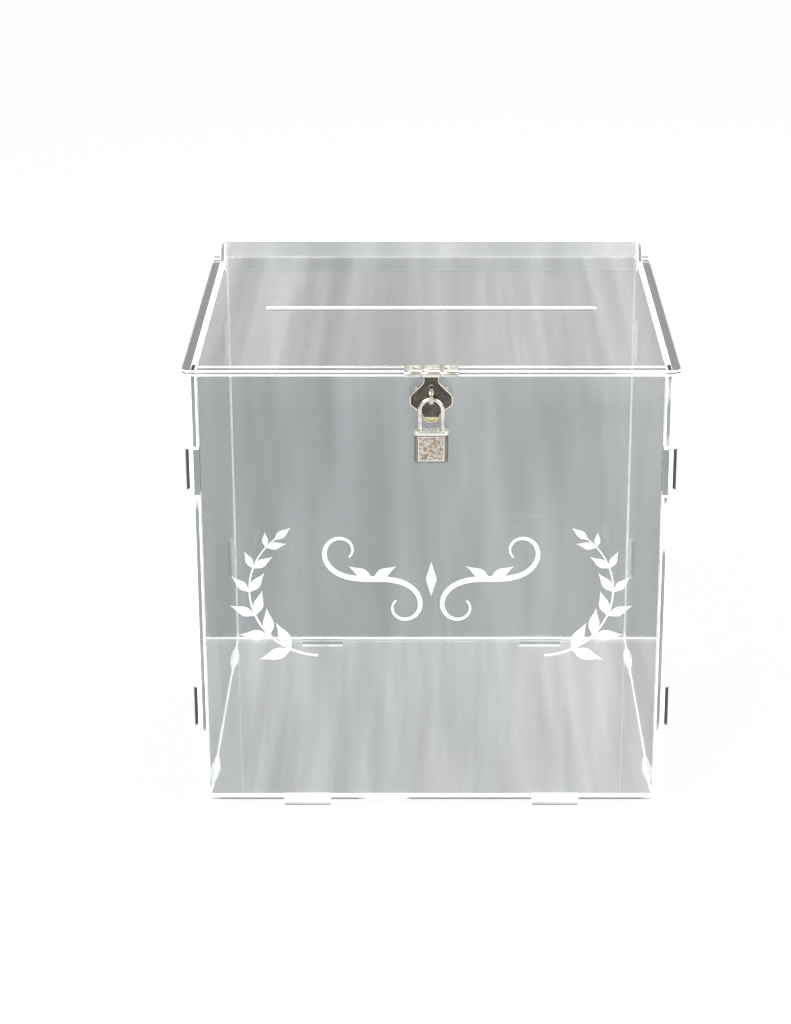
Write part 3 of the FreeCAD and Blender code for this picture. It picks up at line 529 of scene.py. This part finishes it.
def screw(head_height, length, slot_turn):
    """A screw about its own axis, head up, seat at zero: a polar grid whose height is a dome less the
    slot, then the head's edge, its seat and a shank whose radius ripples once a thread, down to a closed
    tip."""
    angle = np.linspace(0, 2 * math.pi, ROUND_STEPS)
    radius = np.linspace(0, HEAD_RADIUS, 22)[:, None]
    x = radius * np.cos(angle)
    y = radius * np.sin(angle)
    across = np.abs(x * math.cos(slot_turn) + y * math.sin(slot_turn))
    cut = np.clip((SLOT_HALF - across) / SLOT_SOFT + 0.5, 0, 1)
    height = head_height - HEAD_CROWN * head_height * (radius / HEAD_RADIUS) ** 2 - SLOT_DEEP * cut
    top = np.stack([x, y, np.maximum(height, HEAD_LEAST)], axis=-1)
    down = np.linspace(0, -length, 90)
    thread = SCREW_SHANK - THREAD_DEPTH * (0.5 + 0.5 * np.cos(2 * math.pi * down / THREAD_PITCH))
    rings = np.concatenate([[[HEAD_RADIUS, 0.0]], np.column_stack([thread, down]), [[0.0, -length]]])
    side = np.stack([rings[:, :1] * np.cos(angle), rings[:, :1] * np.sin(angle),
                     np.broadcast_to(rings[:, 1:], (len(rings), ROUND_STEPS))], axis=-1)
    return [top, np.stack([top[-1], side[0]]), side]


def screw_pair(node, seat, axes, turns):
    """Both screws of a pair on their CAD axes: the screw's own x, y and height are laid along the given
    axes, and the CAD box gives how far each reaches above and below its seat."""
    low, high = place_of(node)
    spread = (high[0] - low[0]) / 2
    bottom, top = sorted([axes[2] @ low, axes[2] @ high])
    sheets = []
    for side, turn in zip((-1, 1), turns):
        centre = np.array([side * (spread - HEAD_RADIUS), *seat])
        seat_level = axes[2] @ centre
        sheets += [centre + sheet @ axes for sheet in screw(top - seat_level, seat_level - bottom, turn)]
    return sheets


screw_metal = plating("screw_plate", SCREW_CREAM, SCREW_DULL, 0.22, (900.0, 900.0, 900.0))
hasp_screw_low, hasp_screw_high = place_of("hasp_screws")
hasp_seat = ((hasp_screw_low + hasp_screw_high)[1] / 2, leaf_high[2])
upright = np.eye(3)
new_piece("hasp_screws_slotted", screw_pair("hasp_screws", hasp_seat, upright, (0.5, 2.2)), "lid",
          screw_metal, "hasp_plating", "hasp_screws")
staple_screw_low, staple_screw_high = place_of("staple_screws")
staple_seat = (place_of("staple_plate")[0][1], (staple_screw_low + staple_screw_high)[2] / 2)
facing_front = np.array([[1.0, 0, 0], [0, 0, 1.0], [0, -1.0, 0]])
new_piece("staple_screws_slotted", screw_pair("staple_screws", staple_seat, facing_front, (1.1, 0.2)), "box",
          screw_metal, "hasp_plating", "staple_screws")
nut_steel = plating("nut_steel", NUT_BRIGHT, NUT_DULL, 0.28, (800.0, 800.0, 800.0))
for nuts in ("hasp_nuts", "staple_nuts"):
    wear(nuts, nut_steel)

# Hasp swing leaf: a stamped plate with a raised rolled rim, a slot for the staple and a lifting lip.
# Its face is polished dark, its rim is bright, its lip carries a painted highlight, and its top is rolled
# into the middle knuckle.
LEAF_CORNERS = np.array([
    (4.0, 0.0), (4.0, -4.5), (11.7, -12.6), (11.7, -17.6), (5.0, -22.6),
])
LOBE_RADIUS = 5.0
LOBE_DROP = 22.6
LEAF_SLOT = (1.5, 5.6)
SLOT_SQUARENESS = 10
SLOT_EASE = 0.12
LEAF_FACE_SINK = 0.16
RIM_SHARE = 0.45
LIP_START = 23.0
LIP_REACH = 0.32
KNUCKLE_HALF = 4.7
KNUCKLE_BORE = 1.15
KNUCKLE_SOFT = 0.25
KNUCKLE_EASE = 0.3 * KNUCKLE_SOFT
LEAF_DARK = (0.085, 0.080, 0.062)
LEAF_CLOUD = (0.135, 0.128, 0.100)
LEAF_RIM = (0.86, 0.84, 0.76)
LIP_HIGHLIGHT = (0.72, 0.69, 0.42)
RIM_TONE_DEPTHS = (0.11, 0.05)
LIP_HIGHLIGHT_DROPS = (24.0, 24.4)


def evenly(corners, count, endpoint):
    """Points at even steps along a line of corners, with or without its last point."""
    steps = np.concatenate([[0], np.cumsum(np.linalg.norm(np.diff(corners, axis=0), axis=1))])
    along = np.linspace(0, steps[-1], count, endpoint=endpoint)
    return np.column_stack([np.interp(along, steps, corners[:, part]) for part in (0, 1)])


def eased_ring(corners, count, reach):
    """A closed outline sampled evenly, each point then averaged with its neighbours within a reach on
    both sides, which rounds the corners."""
    ring = evenly(corners, count, endpoint=False)
    return np.mean([np.roll(ring, shift, axis=0) for shift in range(-reach, reach + 1)], axis=0)


def standing(rows):
    """A grid from rows of (x, z) points, each row stood up at its own depth."""
    return np.stack([
        np.column_stack([flat[:, 0], np.full(len(flat), depth), flat[:, 1]]) for flat, depth in rows
    ])


def leaf_outline():
    """The leaf's rim: its straight runs and the round lobe below them."""
    lobe = np.linspace(0, -math.pi, 40)
    arc = np.column_stack([LOBE_RADIUS * np.cos(lobe), LOBE_RADIUS * np.sin(lobe) - LOBE_DROP])
    left = LEAF_CORNERS[::-1] * (-1, 1)
    corners = np.concatenate([LEAF_CORNERS[:-1], arc, left[1:], LEAF_CORNERS[:1]])
    return eased_ring(corners, 320, 5)


def swing_leaf(centre_z, front, rear):
    """The leaf as one closed grid: round the rim, and across from the slot's wall over the sunk face, up
    over the rim, round the edge and back behind to the slot, whose outline is a squared ellipse. Below
    the lip's start it leans forward, more and more."""
    rim = leaf_outline() + (0, barrel_z)
    centre = np.array([0.0, centre_z])
    away = rim - centre
    angle = np.arctan2(away[:, 1], away[:, 0])
    way = np.column_stack([np.cos(angle), np.sin(angle)])
    powers = (np.abs(way) / LEAF_SLOT) ** SLOT_SQUARENESS
    slot = centre + way * powers.sum(axis=1, keepdims=True) ** (-1 / SLOT_SQUARENESS)
    inward = slot - rim
    width = np.linalg.norm(inward, axis=1, keepdims=True)
    inward = inward / width
    face = front + LEAF_FACE_SINK
    # Each row: a step out from the slot, a share of the way to the rim or a step in from it, and a depth
    slot_rows = [(0.0, rear - SLOT_EASE), (0.0, face + SLOT_EASE), (SLOT_EASE, face)]
    share_rows = [(0.3, face), (0.55, face), (0.75, face)]
    rim_rows = [(1.15, face), (0.95, face - 0.04), (0.8, front + 0.03), (0.6, front), (0.4, front),
                (0.18, front + 0.08), (0.05, front + 0.22), (0.0, (front + rear) / 2),
                (0.05, rear - 0.2), (0.2, rear - 0.05), (0.4, rear)]
    back_rows = [(SLOT_EASE, rear), (0.0, rear - SLOT_EASE)]
    rows = [(slot - inward * step, depth) for step, depth in slot_rows]
    rows += [(slot + (rim - slot) * share, depth) for share, depth in share_rows]
    rows += [(rim + inward * np.minimum(step, width * RIM_SHARE), depth) for step, depth in rim_rows]
    rows += [(slot - inward * step, depth) for step, depth in back_rows]
    sheet = standing(rows)
    drop = np.maximum(barrel_z - LIP_START - sheet[..., 2], 0)
    sheet[..., 1] -= LIP_REACH * (drop / (LOBE_DROP + LOBE_RADIUS - LIP_START)) ** 2
    return np.concatenate([sheet, sheet[:, :1]], axis=1)


def knuckle(half, outer, bore):
    """A rolled knuckle: a rounded rectangle of wall carried once round the pin's axis."""
    right = np.array([(half - KNUCKLE_SOFT, outer), (half - KNUCKLE_EASE, outer - KNUCKLE_EASE),
                      (half, outer - KNUCKLE_SOFT), (half, bore)])
    left = right[::-1] * (-1, 1)
    profile = np.concatenate([left, right, left[:1]])
    angle = np.linspace(0, 2 * math.pi, ROUND_STEPS)[:, None]
    x = np.broadcast_to(profile[:, 0], (ROUND_STEPS, len(profile)))
    y = barrel_y + profile[:, 1] * np.cos(angle)
    z = barrel_z + profile[:, 1] * np.sin(angle)
    return np.stack([x, y, z], axis=-1)


def add_tone(material, axis, start, end, colour, about=None):
    """Adds a tone to a plated metal: its colour goes over to another from a start to an end along one
    axis, in millimetres, or, about a middle, by the distance from it."""
    tree = material.node_tree
    add = node_adder(tree)
    base = tree.nodes["Principled BSDF"].inputs["Base Color"]
    place = add("TexCoord")
    value = add("SeparateXYZ", {0: place.outputs["Object"]}).outputs[axis]
    if about is not None:
        value = calc(add, "ABSOLUTE", calc(add, "SUBTRACT", value, about / 1000))
    share = add("MapRange", {"Value": value, "From Min": start / 1000, "From Max": end / 1000})
    mix = add("MixRGB", {0: share.outputs[0], 1: base.links[0].from_socket, 2: (*colour, 1)})
    tree.links.new(mix.outputs[0], base)


swing_high = place_of("hasp_swing_leaf")[1]
eye_low, eye_high = place_of("staple_eye")
eye_z = (eye_low + eye_high)[2] / 2
leaf_rear = swing_high[1]
leaf_front = leaf_rear - LEAF_SHEET
barrel_radius = swing_high[2] - barrel_z
swing_metal = plating("swing_leaf_plate", LEAF_DARK, LEAF_CLOUD, 0.16, (300.0, 300.0, 3000.0))
add_tone(swing_metal, "Y", *[leaf_front + depth for depth in RIM_TONE_DEPTHS], LEAF_RIM)
# Painted highlight: the lower end of the lip turns pale brass.
add_tone(swing_metal, "Z", *[barrel_z - drop for drop in LIP_HIGHLIGHT_DROPS], LIP_HIGHLIGHT)
swing_sheets = [swing_leaf(eye_z, leaf_front, leaf_rear), knuckle(KNUCKLE_HALF, barrel_radius, KNUCKLE_BORE)]
new_piece("hasp_swing_leaf_stamped", swing_sheets, "hasp_leaf", swing_metal, "hasp_plating",
          "hasp_swing_leaf")

# Staple: a flattened wire bent to an eye and set in a small plate on the front panel.
# It is the same cream plating, rubbed where the leaf and the shackle pass over it. The plate is a cross:
# a column under the eye and a round ear under each screw.
EYE_WIRE = 1.6
EYE_SQUARENESS = 4
EAR_X = 7.0
EAR_RADIUS = 2.1
COLUMN_HALF = 3.2
EYE_CREAM = (0.78, 0.74, 0.58)
EYE_RUBBED = (0.52, 0.48, 0.34)


def bent_bar(path, sideways, half_wide, half_high, power):
    """A bar along a path in a plane: at each point a rounded rectangle, a squared ellipse of two half
    sizes, stands square to the path; its ends are filled to their middles."""
    ahead = np.gradient(path, axis=0)
    ahead /= np.linalg.norm(ahead, axis=1, keepdims=True)
    out = np.cross(ahead, sideways)
    angle = np.linspace(0, 2 * math.pi, 33)
    round_x = np.sign(np.cos(angle)) * np.abs(np.cos(angle)) ** (2 / power) * half_wide
    round_y = np.sign(np.sin(angle)) * np.abs(np.sin(angle)) ** (2 / power) * half_high
    rings = path[:, None] + round_x[None, :, None] * sideways + round_y[None, :, None] * out[:, None]
    return [rings, *filled_ends(rings, path)]


def eared_plate(low, high, middle_z):
    """The staple's plate: the cross's outline with its corners rounded, and rings of it from its middle
    over the front, the edge and the back."""
    ear = np.linspace(-math.pi / 2, math.pi / 2, 24)
    right = np.column_stack([EAR_X + EAR_RADIUS * np.cos(ear), middle_z + EAR_RADIUS * np.sin(ear)])
    lower = np.array([(0.0, low[2]), (COLUMN_HALF, low[2]), (COLUMN_HALF, middle_z - EAR_RADIUS)])
    upper = np.array([(COLUMN_HALF, middle_z + EAR_RADIUS), (COLUMN_HALF, high[2]), (0.0, high[2])])
    half = np.concatenate([lower, right, upper])
    rim = eased_ring(np.concatenate([half, (half * (-1, 1))[::-1]]), 240, 3)
    rim = np.concatenate([rim, rim[:1]])
    middle = np.array([0.0, middle_z])
    front, back = low[1], high[1]
    profile = ((0.0, front), (0.965, front), (0.99, front + 0.1), (1.0, front + 0.25), (1.0, back),
               (0.0, back))
    return [standing([(middle + (rim - middle) * share, depth) for share, depth in profile])]


eye_half = (eye_high - eye_low)[2] / 2 - EYE_WIRE / 2
eye_turn_y = eye_low[1] + eye_half + EYE_WIRE / 2
eye_leg = np.linspace(eye_high[1], eye_turn_y, 10)[:-1]
eye_bend = np.linspace(math.pi / 2, 3 * math.pi / 2, 40)
leg_rise = np.full_like(eye_leg, eye_half)
eye_y = np.concatenate([eye_leg, eye_turn_y + eye_half * np.cos(eye_bend), eye_leg[::-1]])
eye_rise = np.concatenate([leg_rise, eye_half * np.sin(eye_bend), -leg_rise])
eye_path = np.column_stack([np.zeros_like(eye_y), eye_y, eye_z + eye_rise])
eye_metal = plating("staple_plate_cream", EYE_CREAM, EYE_RUBBED, 0.18, (500.0, 2500.0, 500.0))
eye_sheets = bent_bar(eye_path, np.array([1.0, 0, 0]), eye_high[0], EYE_WIRE / 2, EYE_SQUARENESS)
new_piece("staple_eye_bent", eye_sheets, "box", eye_metal, "hasp_plating", "staple_eye")
plate_sheets = eared_plate(*place_of("staple_plate"), eye_z)
new_piece("staple_plate_eared", plate_sheets, "box", eye_metal, "hasp_plating", "staple_plate")

# Padlock case: a cast block, plated, with a rolled rim on top, bored for the shackle's legs and the core.
# Both broad faces are framed and stippled in champagne; its round sides are darker, its rim is bright.
CASE_CORNER = 2.3
LEAST_CORNER = 0.3
RIM_REACH = 0.5
RIM_HEIGHT = 2.2
RIM_TONE_HALF = 0.1
LEG_BORE = 1.27
LEG_X = 6.0
HEEL_DEEP = 13.1
TOE_DEEP = 3.7
CORE_BORE = 2.64
CORE_DEEP = 7.05
BORE_EASE = 0.1
LEG_EASE = 0.12
SIDE_STEEL = (0.30, 0.295, 0.275)
SIDE_CLOUD = (0.20, 0.198, 0.185)
RIM_BRIGHT = (0.90, 0.885, 0.84)
FACE_LIFT = 0.3
FACE_BACK = 0.1
FACE_GRID = (110, 104)
FACE_OVER_CORNER = 0.4
FACE_MARGINS = (1.0, 0.3)
FRAME_RISE = 0.18
FRAME_WIDTH = 0.62
FRAME_FALL = 0.16
STIPPLE_SEED = 11
STIPPLE_COUNT = 210
STIPPLE_SIZE = 0.34
STIPPLE_MARGIN = 0.6
STIPPLE_FLOOR = 0.12
STIPPLE_RISE = 0.72
FACE_CHAMPAGNE = (0.82, 0.74, 0.66)
FACE_WORN = (0.66, 0.57, 0.49)
FACE_DEEP = (0.36, 0.30, 0.245)
FRAME_BRIGHT = (0.93, 0.90, 0.84)
VALLEY_SHARES = (0.46, 0.16)
CREST_SHARE = 0.93
CREST_BLEND = 0.02


def half_ring(half_x, half_y, inset):
    """The left half of a rounded rectangle, from the middle of its far side to the middle of its near
    side: two corner arcs joined by straight runs, drawn in by an inset, and sampled evenly."""
    wide, deep, turn = half_x - inset, half_y - inset, max(CASE_CORNER - inset, LEAST_CORNER)
    arc = np.linspace(0, math.pi / 2, 12)
    far = np.column_stack([-(wide - turn) - turn * np.sin(arc), deep - turn + turn * np.cos(arc)])
    corners = np.concatenate([[(0.0, deep)], far, far[::-1] * (1, -1), [(0.0, -deep)]])
    return evenly(corners, 60, endpoint=True)


def full_ring(half):
    """A whole ring from its left half: the half and its mirror image, back to the start."""
    return np.concatenate([half, half[::-1] * (-1, 1)])


def ring_at(flat, height, middle_y):
    """Puts a ring of (x, y) points about the case's middle at a height."""
    return np.column_stack([flat[:, 0], flat[:, 1] + middle_y, np.full(len(flat), height)])


def bore_rings(centre, ways, profile, middle_y):
    """The rings of a round bore: from its centre along each way by the profile's radius, at its
    height."""
    return [ring_at(centre + ways * radius, height, middle_y) for radius, height in profile]


def case_shell(low, high, middle_y, half_x, half_y):
    """The case from the end of the core's bore, out over its base, up its sides and over the rolled rim:
    rings of a rounded rectangle whose inset changes with height. Its top is two fans, each from a leg's
    bore to the left or right half of the rim."""
    rim_low = high - RIM_HEIGHT
    # Each row is an inset and a height
    rows = [(1.3, low), (0.7, low + 0.06), (0.3, low + 0.26), (0.08, low + 0.6), (0.0, low + 1.0),
            (0.0, rim_low - 0.25), (-0.08, rim_low - 0.06), (-0.3, rim_low + 0.05), (-0.46, rim_low + 0.35),
            (-RIM_REACH, rim_low + 0.8), (-RIM_REACH, high - 0.8), (-0.44, high - 0.35), (-0.25, high - 0.1),
            (0.05, high), (0.4, high)]
    halves = [half_ring(half_x, half_y, inset) for inset, _ in rows]
    walls = [ring_at(full_ring(half), height, middle_y) for half, (_, height) in zip(halves, rows)]
    angle = np.arctan2(walls[0][:, 1] - middle_y, walls[0][:, 0])
    circle = np.column_stack([np.cos(angle), np.sin(angle)])
    core_profile = ((0.0, low + CORE_DEEP), (CORE_BORE, low + CORE_DEEP), (CORE_BORE, low + BORE_EASE),
                    (CORE_BORE + BORE_EASE, low))
    sheets = [np.stack(bore_rings(np.zeros(2), circle, core_profile, middle_y) + walls)]
    edge = halves[-1]
    seam = np.column_stack([np.zeros(20), np.linspace(edge[-1, 1], edge[0, 1], 20)])[1:]
    for side, depth in ((-1, HEEL_DEEP), (1, TOE_DEEP)):
        boundary = np.concatenate([edge, seam]) * (-side, 1)
        leg = np.array([side * LEG_X, 0.0])
        away = boundary - leg
        away = away / np.linalg.norm(away, axis=1, keepdims=True)
        leg_profile = ((0.0, high - depth), (LEG_BORE, high - depth), (LEG_BORE, high - BORE_EASE),
                       (LEG_BORE + LEG_EASE, high))
        fan = bore_rings(leg, away, leg_profile, middle_y)
        sheets.append(np.stack(fan + [ring_at(boundary, high, middle_y)]))
    return sheets


def face_plate(low, high, plane_y, outward, half_x):
    """A framed face: a height over a flat grid, zero at its border, full on the frame, and inside it a
    stipple, the highest of many small round bumps at seeded random places. A flat grid behind it closes
    it."""
    columns, rows = FACE_GRID
    x, z = np.meshgrid(np.linspace(-half_x, half_x, columns), np.linspace(low, high, rows))
    border = np.minimum(half_x - np.abs(x), np.minimum(z - low, high - z))
    frame_up = np.clip(border / FRAME_RISE, 0, 1) ** 0.5
    inside = np.clip((border - FRAME_WIDTH) / FRAME_FALL, 0, 1)
    random = np.random.default_rng(STIPPLE_SEED)
    first_spot = np.array([-half_x, low]) + STIPPLE_MARGIN
    last_spot = np.array([half_x, high]) - STIPPLE_MARGIN
    spots = random.uniform(first_spot, last_spot, (STIPPLE_COUNT, 2))
    weight = random.uniform(0.35, 1.0, STIPPLE_COUNT)
    gap = (x[..., None] - spots[:, 0]) ** 2 + (z[..., None] - spots[:, 1]) ** 2
    stipple = (weight * np.exp(-gap / (2 * STIPPLE_SIZE ** 2))).max(axis=-1)
    height = FACE_LIFT * (frame_up * (1 - inside) + inside * (STIPPLE_FLOOR + STIPPLE_RISE * stipple))
    front = np.stack([x, plane_y + outward * height, z], axis=-1)
    behind = np.stack([x, np.full(x.shape, plane_y - outward * FACE_BACK), z], axis=-1)
    behind[[0, -1]] = front[[0, -1]]
    behind[:, [0, -1]] = front[:, [0, -1]]
    return [front, behind]


case_low, case_high = place_of("padlock_case")
lock_y = (case_low + case_high)[1] / 2
case_half_x = case_high[0] - RIM_REACH
case_half_y = case_high[1] - lock_y - RIM_REACH - FACE_LIFT
rim_level = case_high[2] - RIM_HEIGHT
case_metal = plating("case_side_steel", SIDE_STEEL, SIDE_CLOUD, 0.2, (400.0, 400.0, 3000.0))
add_tone(case_metal, "Z", rim_level - RIM_TONE_HALF, rim_level + RIM_TONE_HALF, RIM_BRIGHT)
case_sheets = case_shell(case_low[2], case_high[2], lock_y, case_half_x, case_half_y)
new_piece("padlock_case_cast", case_sheets, "padlock", case_metal, "padlock_plating", "padlock_case")
face_metal = plating("stippled_champagne", FACE_CHAMPAGNE, FACE_WORN, 0.28, (900.0, 900.0, 900.0))
slope, valley = [case_half_y + FACE_LIFT * share for share in VALLEY_SHARES]
crest = case_half_y + FACE_LIFT * CREST_SHARE
add_tone(face_metal, "Y", slope, valley, FACE_DEEP, lock_y)
add_tone(face_metal, "Y", crest - CREST_BLEND, crest, FRAME_BRIGHT, lock_y)
face_half = case_half_x - CASE_CORNER + FACE_OVER_CORNER
face_levels = (case_low[2] + FACE_MARGINS[0], rim_level - FACE_MARGINS[1])
face_sheets = []
for outward in (-1, 1):
    face_sheets += face_plate(*face_levels, lock_y + outward * case_half_y, outward, face_half)
new_piece("padlock_faces_stippled", face_sheets, "padlock", face_metal, "padlock_plating")

# Padlock shackle: a bright rod bent to a hoop, its heel leg longer than its toe.
# It is hard plated steel with faint rub marks from the staple.
SHACKLE_RADIUS = 1.2
TOE_PLAY = 0.1
SHACKLE_CREAM = (0.88, 0.85, 0.77)
SHACKLE_RUB = (0.58, 0.56, 0.48)


def hoop(heel, toe, bow):
    """The shackle's line: up the heel leg, half a circle over, and down to the toe."""
    rise = np.linspace(heel, bow, 14)[:-1]
    fall = np.linspace(bow, toe, 14)[1:]
    over = np.linspace(math.pi, 0, 48)
    x = np.concatenate([np.full_like(rise, -LEG_X), LEG_X * np.cos(over), np.full_like(fall, LEG_X)])
    z = np.concatenate([rise, bow + LEG_X * np.sin(over), fall])
    return np.column_stack([x, np.full_like(x, lock_y), z])


shackle_low, shackle_high = place_of("padlock_shackle")
bow_z = shackle_high[2] - LEG_X - SHACKLE_RADIUS
shackle_line = hoop(shackle_low[2], case_high[2] - TOE_DEEP + TOE_PLAY, bow_z)
shackle_metal = plating("shackle_steel", SHACKLE_CREAM, SHACKLE_RUB, 0.14, (500.0, 500.0, 2500.0))
shackle_sheets = bent_bar(shackle_line, np.array([0, 1.0, 0]), SHACKLE_RADIUS, SHACKLE_RADIUS, 2)
new_piece("padlock_shackle_bent", shackle_sheets, "shackle", shackle_metal, "bright_steel",
          "padlock_shackle")

# Padlock core and latch: a turned brass plug with a key slot in its end, and a small steel bolt above.
# Both are plain turned or sawn stock; only the plug's end shows.
CORE_BRASS = (0.62, 0.50, 0.24)
CORE_DULL = (0.42, 0.33, 0.15)
wear("padlock_core", plating("core_brass", CORE_BRASS, CORE_DULL, 0.3, (1500.0, 1500.0, 200.0)))
wear("padlock_latch", nut_steel)

# Stage: a white floor that shows as plain white to the eye, in metal and through the acrylic, and keeps a
# soft shadow; an even sky, dimmer as a light than it looks, and three soft boxes.
FLOOR_HALF = 4.0
FLOOR_GLOW_SHARE = 0.955
SKY_LEVEL = 0.55
BOX_SIZE = 1.0
BOX_TARGET = np.array([0, 0, 0.13])
SOFT_BOXES = {
    "key_box": ((-0.9, -1.2, 1.5), 22),
    "fill_box": ((1.2, -0.8, 1.1), 10),
    "rear_box": ((0.2, 1.3, 1.4), 10),
}


def backdrop_finish():
    """White paint, mostly replaced by an even white glow for rays from the eye, from gloss and through
    glass."""
    material, shader, links, add = new_material("backdrop_white")
    shader.inputs["Base Color"].default_value = (0.9, 0.9, 0.9, 1)
    shader.inputs["Roughness"].default_value = 0.9
    ray = add("LightPath").outputs
    direct = calc(add, "MAXIMUM", ray["Is Camera Ray"], ray["Is Glossy Ray"])
    seen = calc(add, "MAXIMUM", direct, ray["Is Transmission Ray"])
    glow = add("Emission", {"Color": (1, 1, 1, 1), "Strength": 1.0})
    share = calc(add, "MULTIPLY", seen, FLOOR_GLOW_SHARE)
    mix = add("MixShader", {0: share, 1: shader.outputs[0], 2: glow.outputs[0]})
    output = next(node for node in material.node_tree.nodes if node.type == "OUTPUT_MATERIAL")
    links.new(mix.outputs[0], output.inputs["Surface"])
    return material


floor_mesh = bpy.data.meshes.new("studio_floor")
floor_corners = np.array([(-1, -1), (1, -1), (1, 1), (-1, 1)]) * FLOOR_HALF
floor_mesh.from_pydata(np.column_stack([floor_corners, np.zeros(4)]).tolist(), [], [(0, 1, 2, 3)])
floor = bpy.data.objects.new("studio_floor", floor_mesh)
bpy.context.scene.collection.objects.link(floor)
floor_mesh.materials.append(backdrop_finish())

world = bpy.data.worlds.new("studio_sky")
bpy.context.scene.world = world
world.use_nodes = True
add_sky = node_adder(world.node_tree)
sky_ray = add_sky("LightPath").outputs
sky_seen = calc(add_sky, "MAXIMUM", sky_ray["Is Camera Ray"], sky_ray["Is Transmission Ray"])
sky_level = add_sky("MapRange", {"Value": sky_seen, "To Min": SKY_LEVEL, "To Max": 1.0})
sky = world.node_tree.nodes["Background"]
world.node_tree.links.new(sky_level.outputs[0], sky.inputs["Strength"])
sky.inputs["Color"].default_value = (1, 1, 1, 1)

for box_name, (box_place, power) in SOFT_BOXES.items():
    lamp = bpy.data.lights.new(box_name, "AREA")
    lamp.size = BOX_SIZE
    lamp.energy = power
    holder = bpy.data.objects.new(box_name, lamp)
    aim = BOX_TARGET - np.array(box_place)
    tilt = math.atan2(math.hypot(aim[0], aim[1]), -aim[2])
    holder.location = box_place
    holder.rotation_euler = (tilt, 0, math.atan2(aim[1], aim[0]) - math.pi / 2)
    bpy.context.scene.collection.objects.link(holder)

# Camera: in front of the box, at the height, distance and pitch that fit its edges in the photograph.
# The frame is shifted sideways, so that the box sits a little right of the middle, as it does there.
PHOTO_WIDTH = 791
PHOTO_HEIGHT = 1024
FOCAL_PIXELS = 2584.7
MIDDLE_PIXEL = 431.25
CAMERA_PITCH = math.radians(21.04)
CAMERA_HEIGHT = 0.6788
CAMERA_DISTANCE = 1.2966
SENSOR = 36.0
camera_data = bpy.data.cameras.new("photo_camera")
camera_data.sensor_width = SENSOR
camera_data.lens = FOCAL_PIXELS * SENSOR / PHOTO_HEIGHT
camera_data.shift_x = (PHOTO_WIDTH / 2 - MIDDLE_PIXEL) / PHOTO_HEIGHT
camera = bpy.data.objects.new("photo_camera", camera_data)
panel_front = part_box("right_panel")[0].y
camera.location = (0, panel_front - CAMERA_DISTANCE, CAMERA_HEIGHT)
camera.rotation_euler = (math.pi / 2 - CAMERA_PITCH, 0, 0)
bpy.context.scene.collection.objects.link(camera)
bpy.context.scene.camera = camera

# Picture: plain tones with no film curve, and enough bounces for light to get through every sheet of
# acrylic between the eye and the backdrop.
ACRYLIC_BOUNCES = 24
bpy.context.scene.view_settings.view_transform = "Standard"
bpy.context.scene.cycles.max_bounces = ACRYLIC_BOUNCES
bpy.context.scene.cycles.transmission_bounces = ACRYLIC_BOUNCES
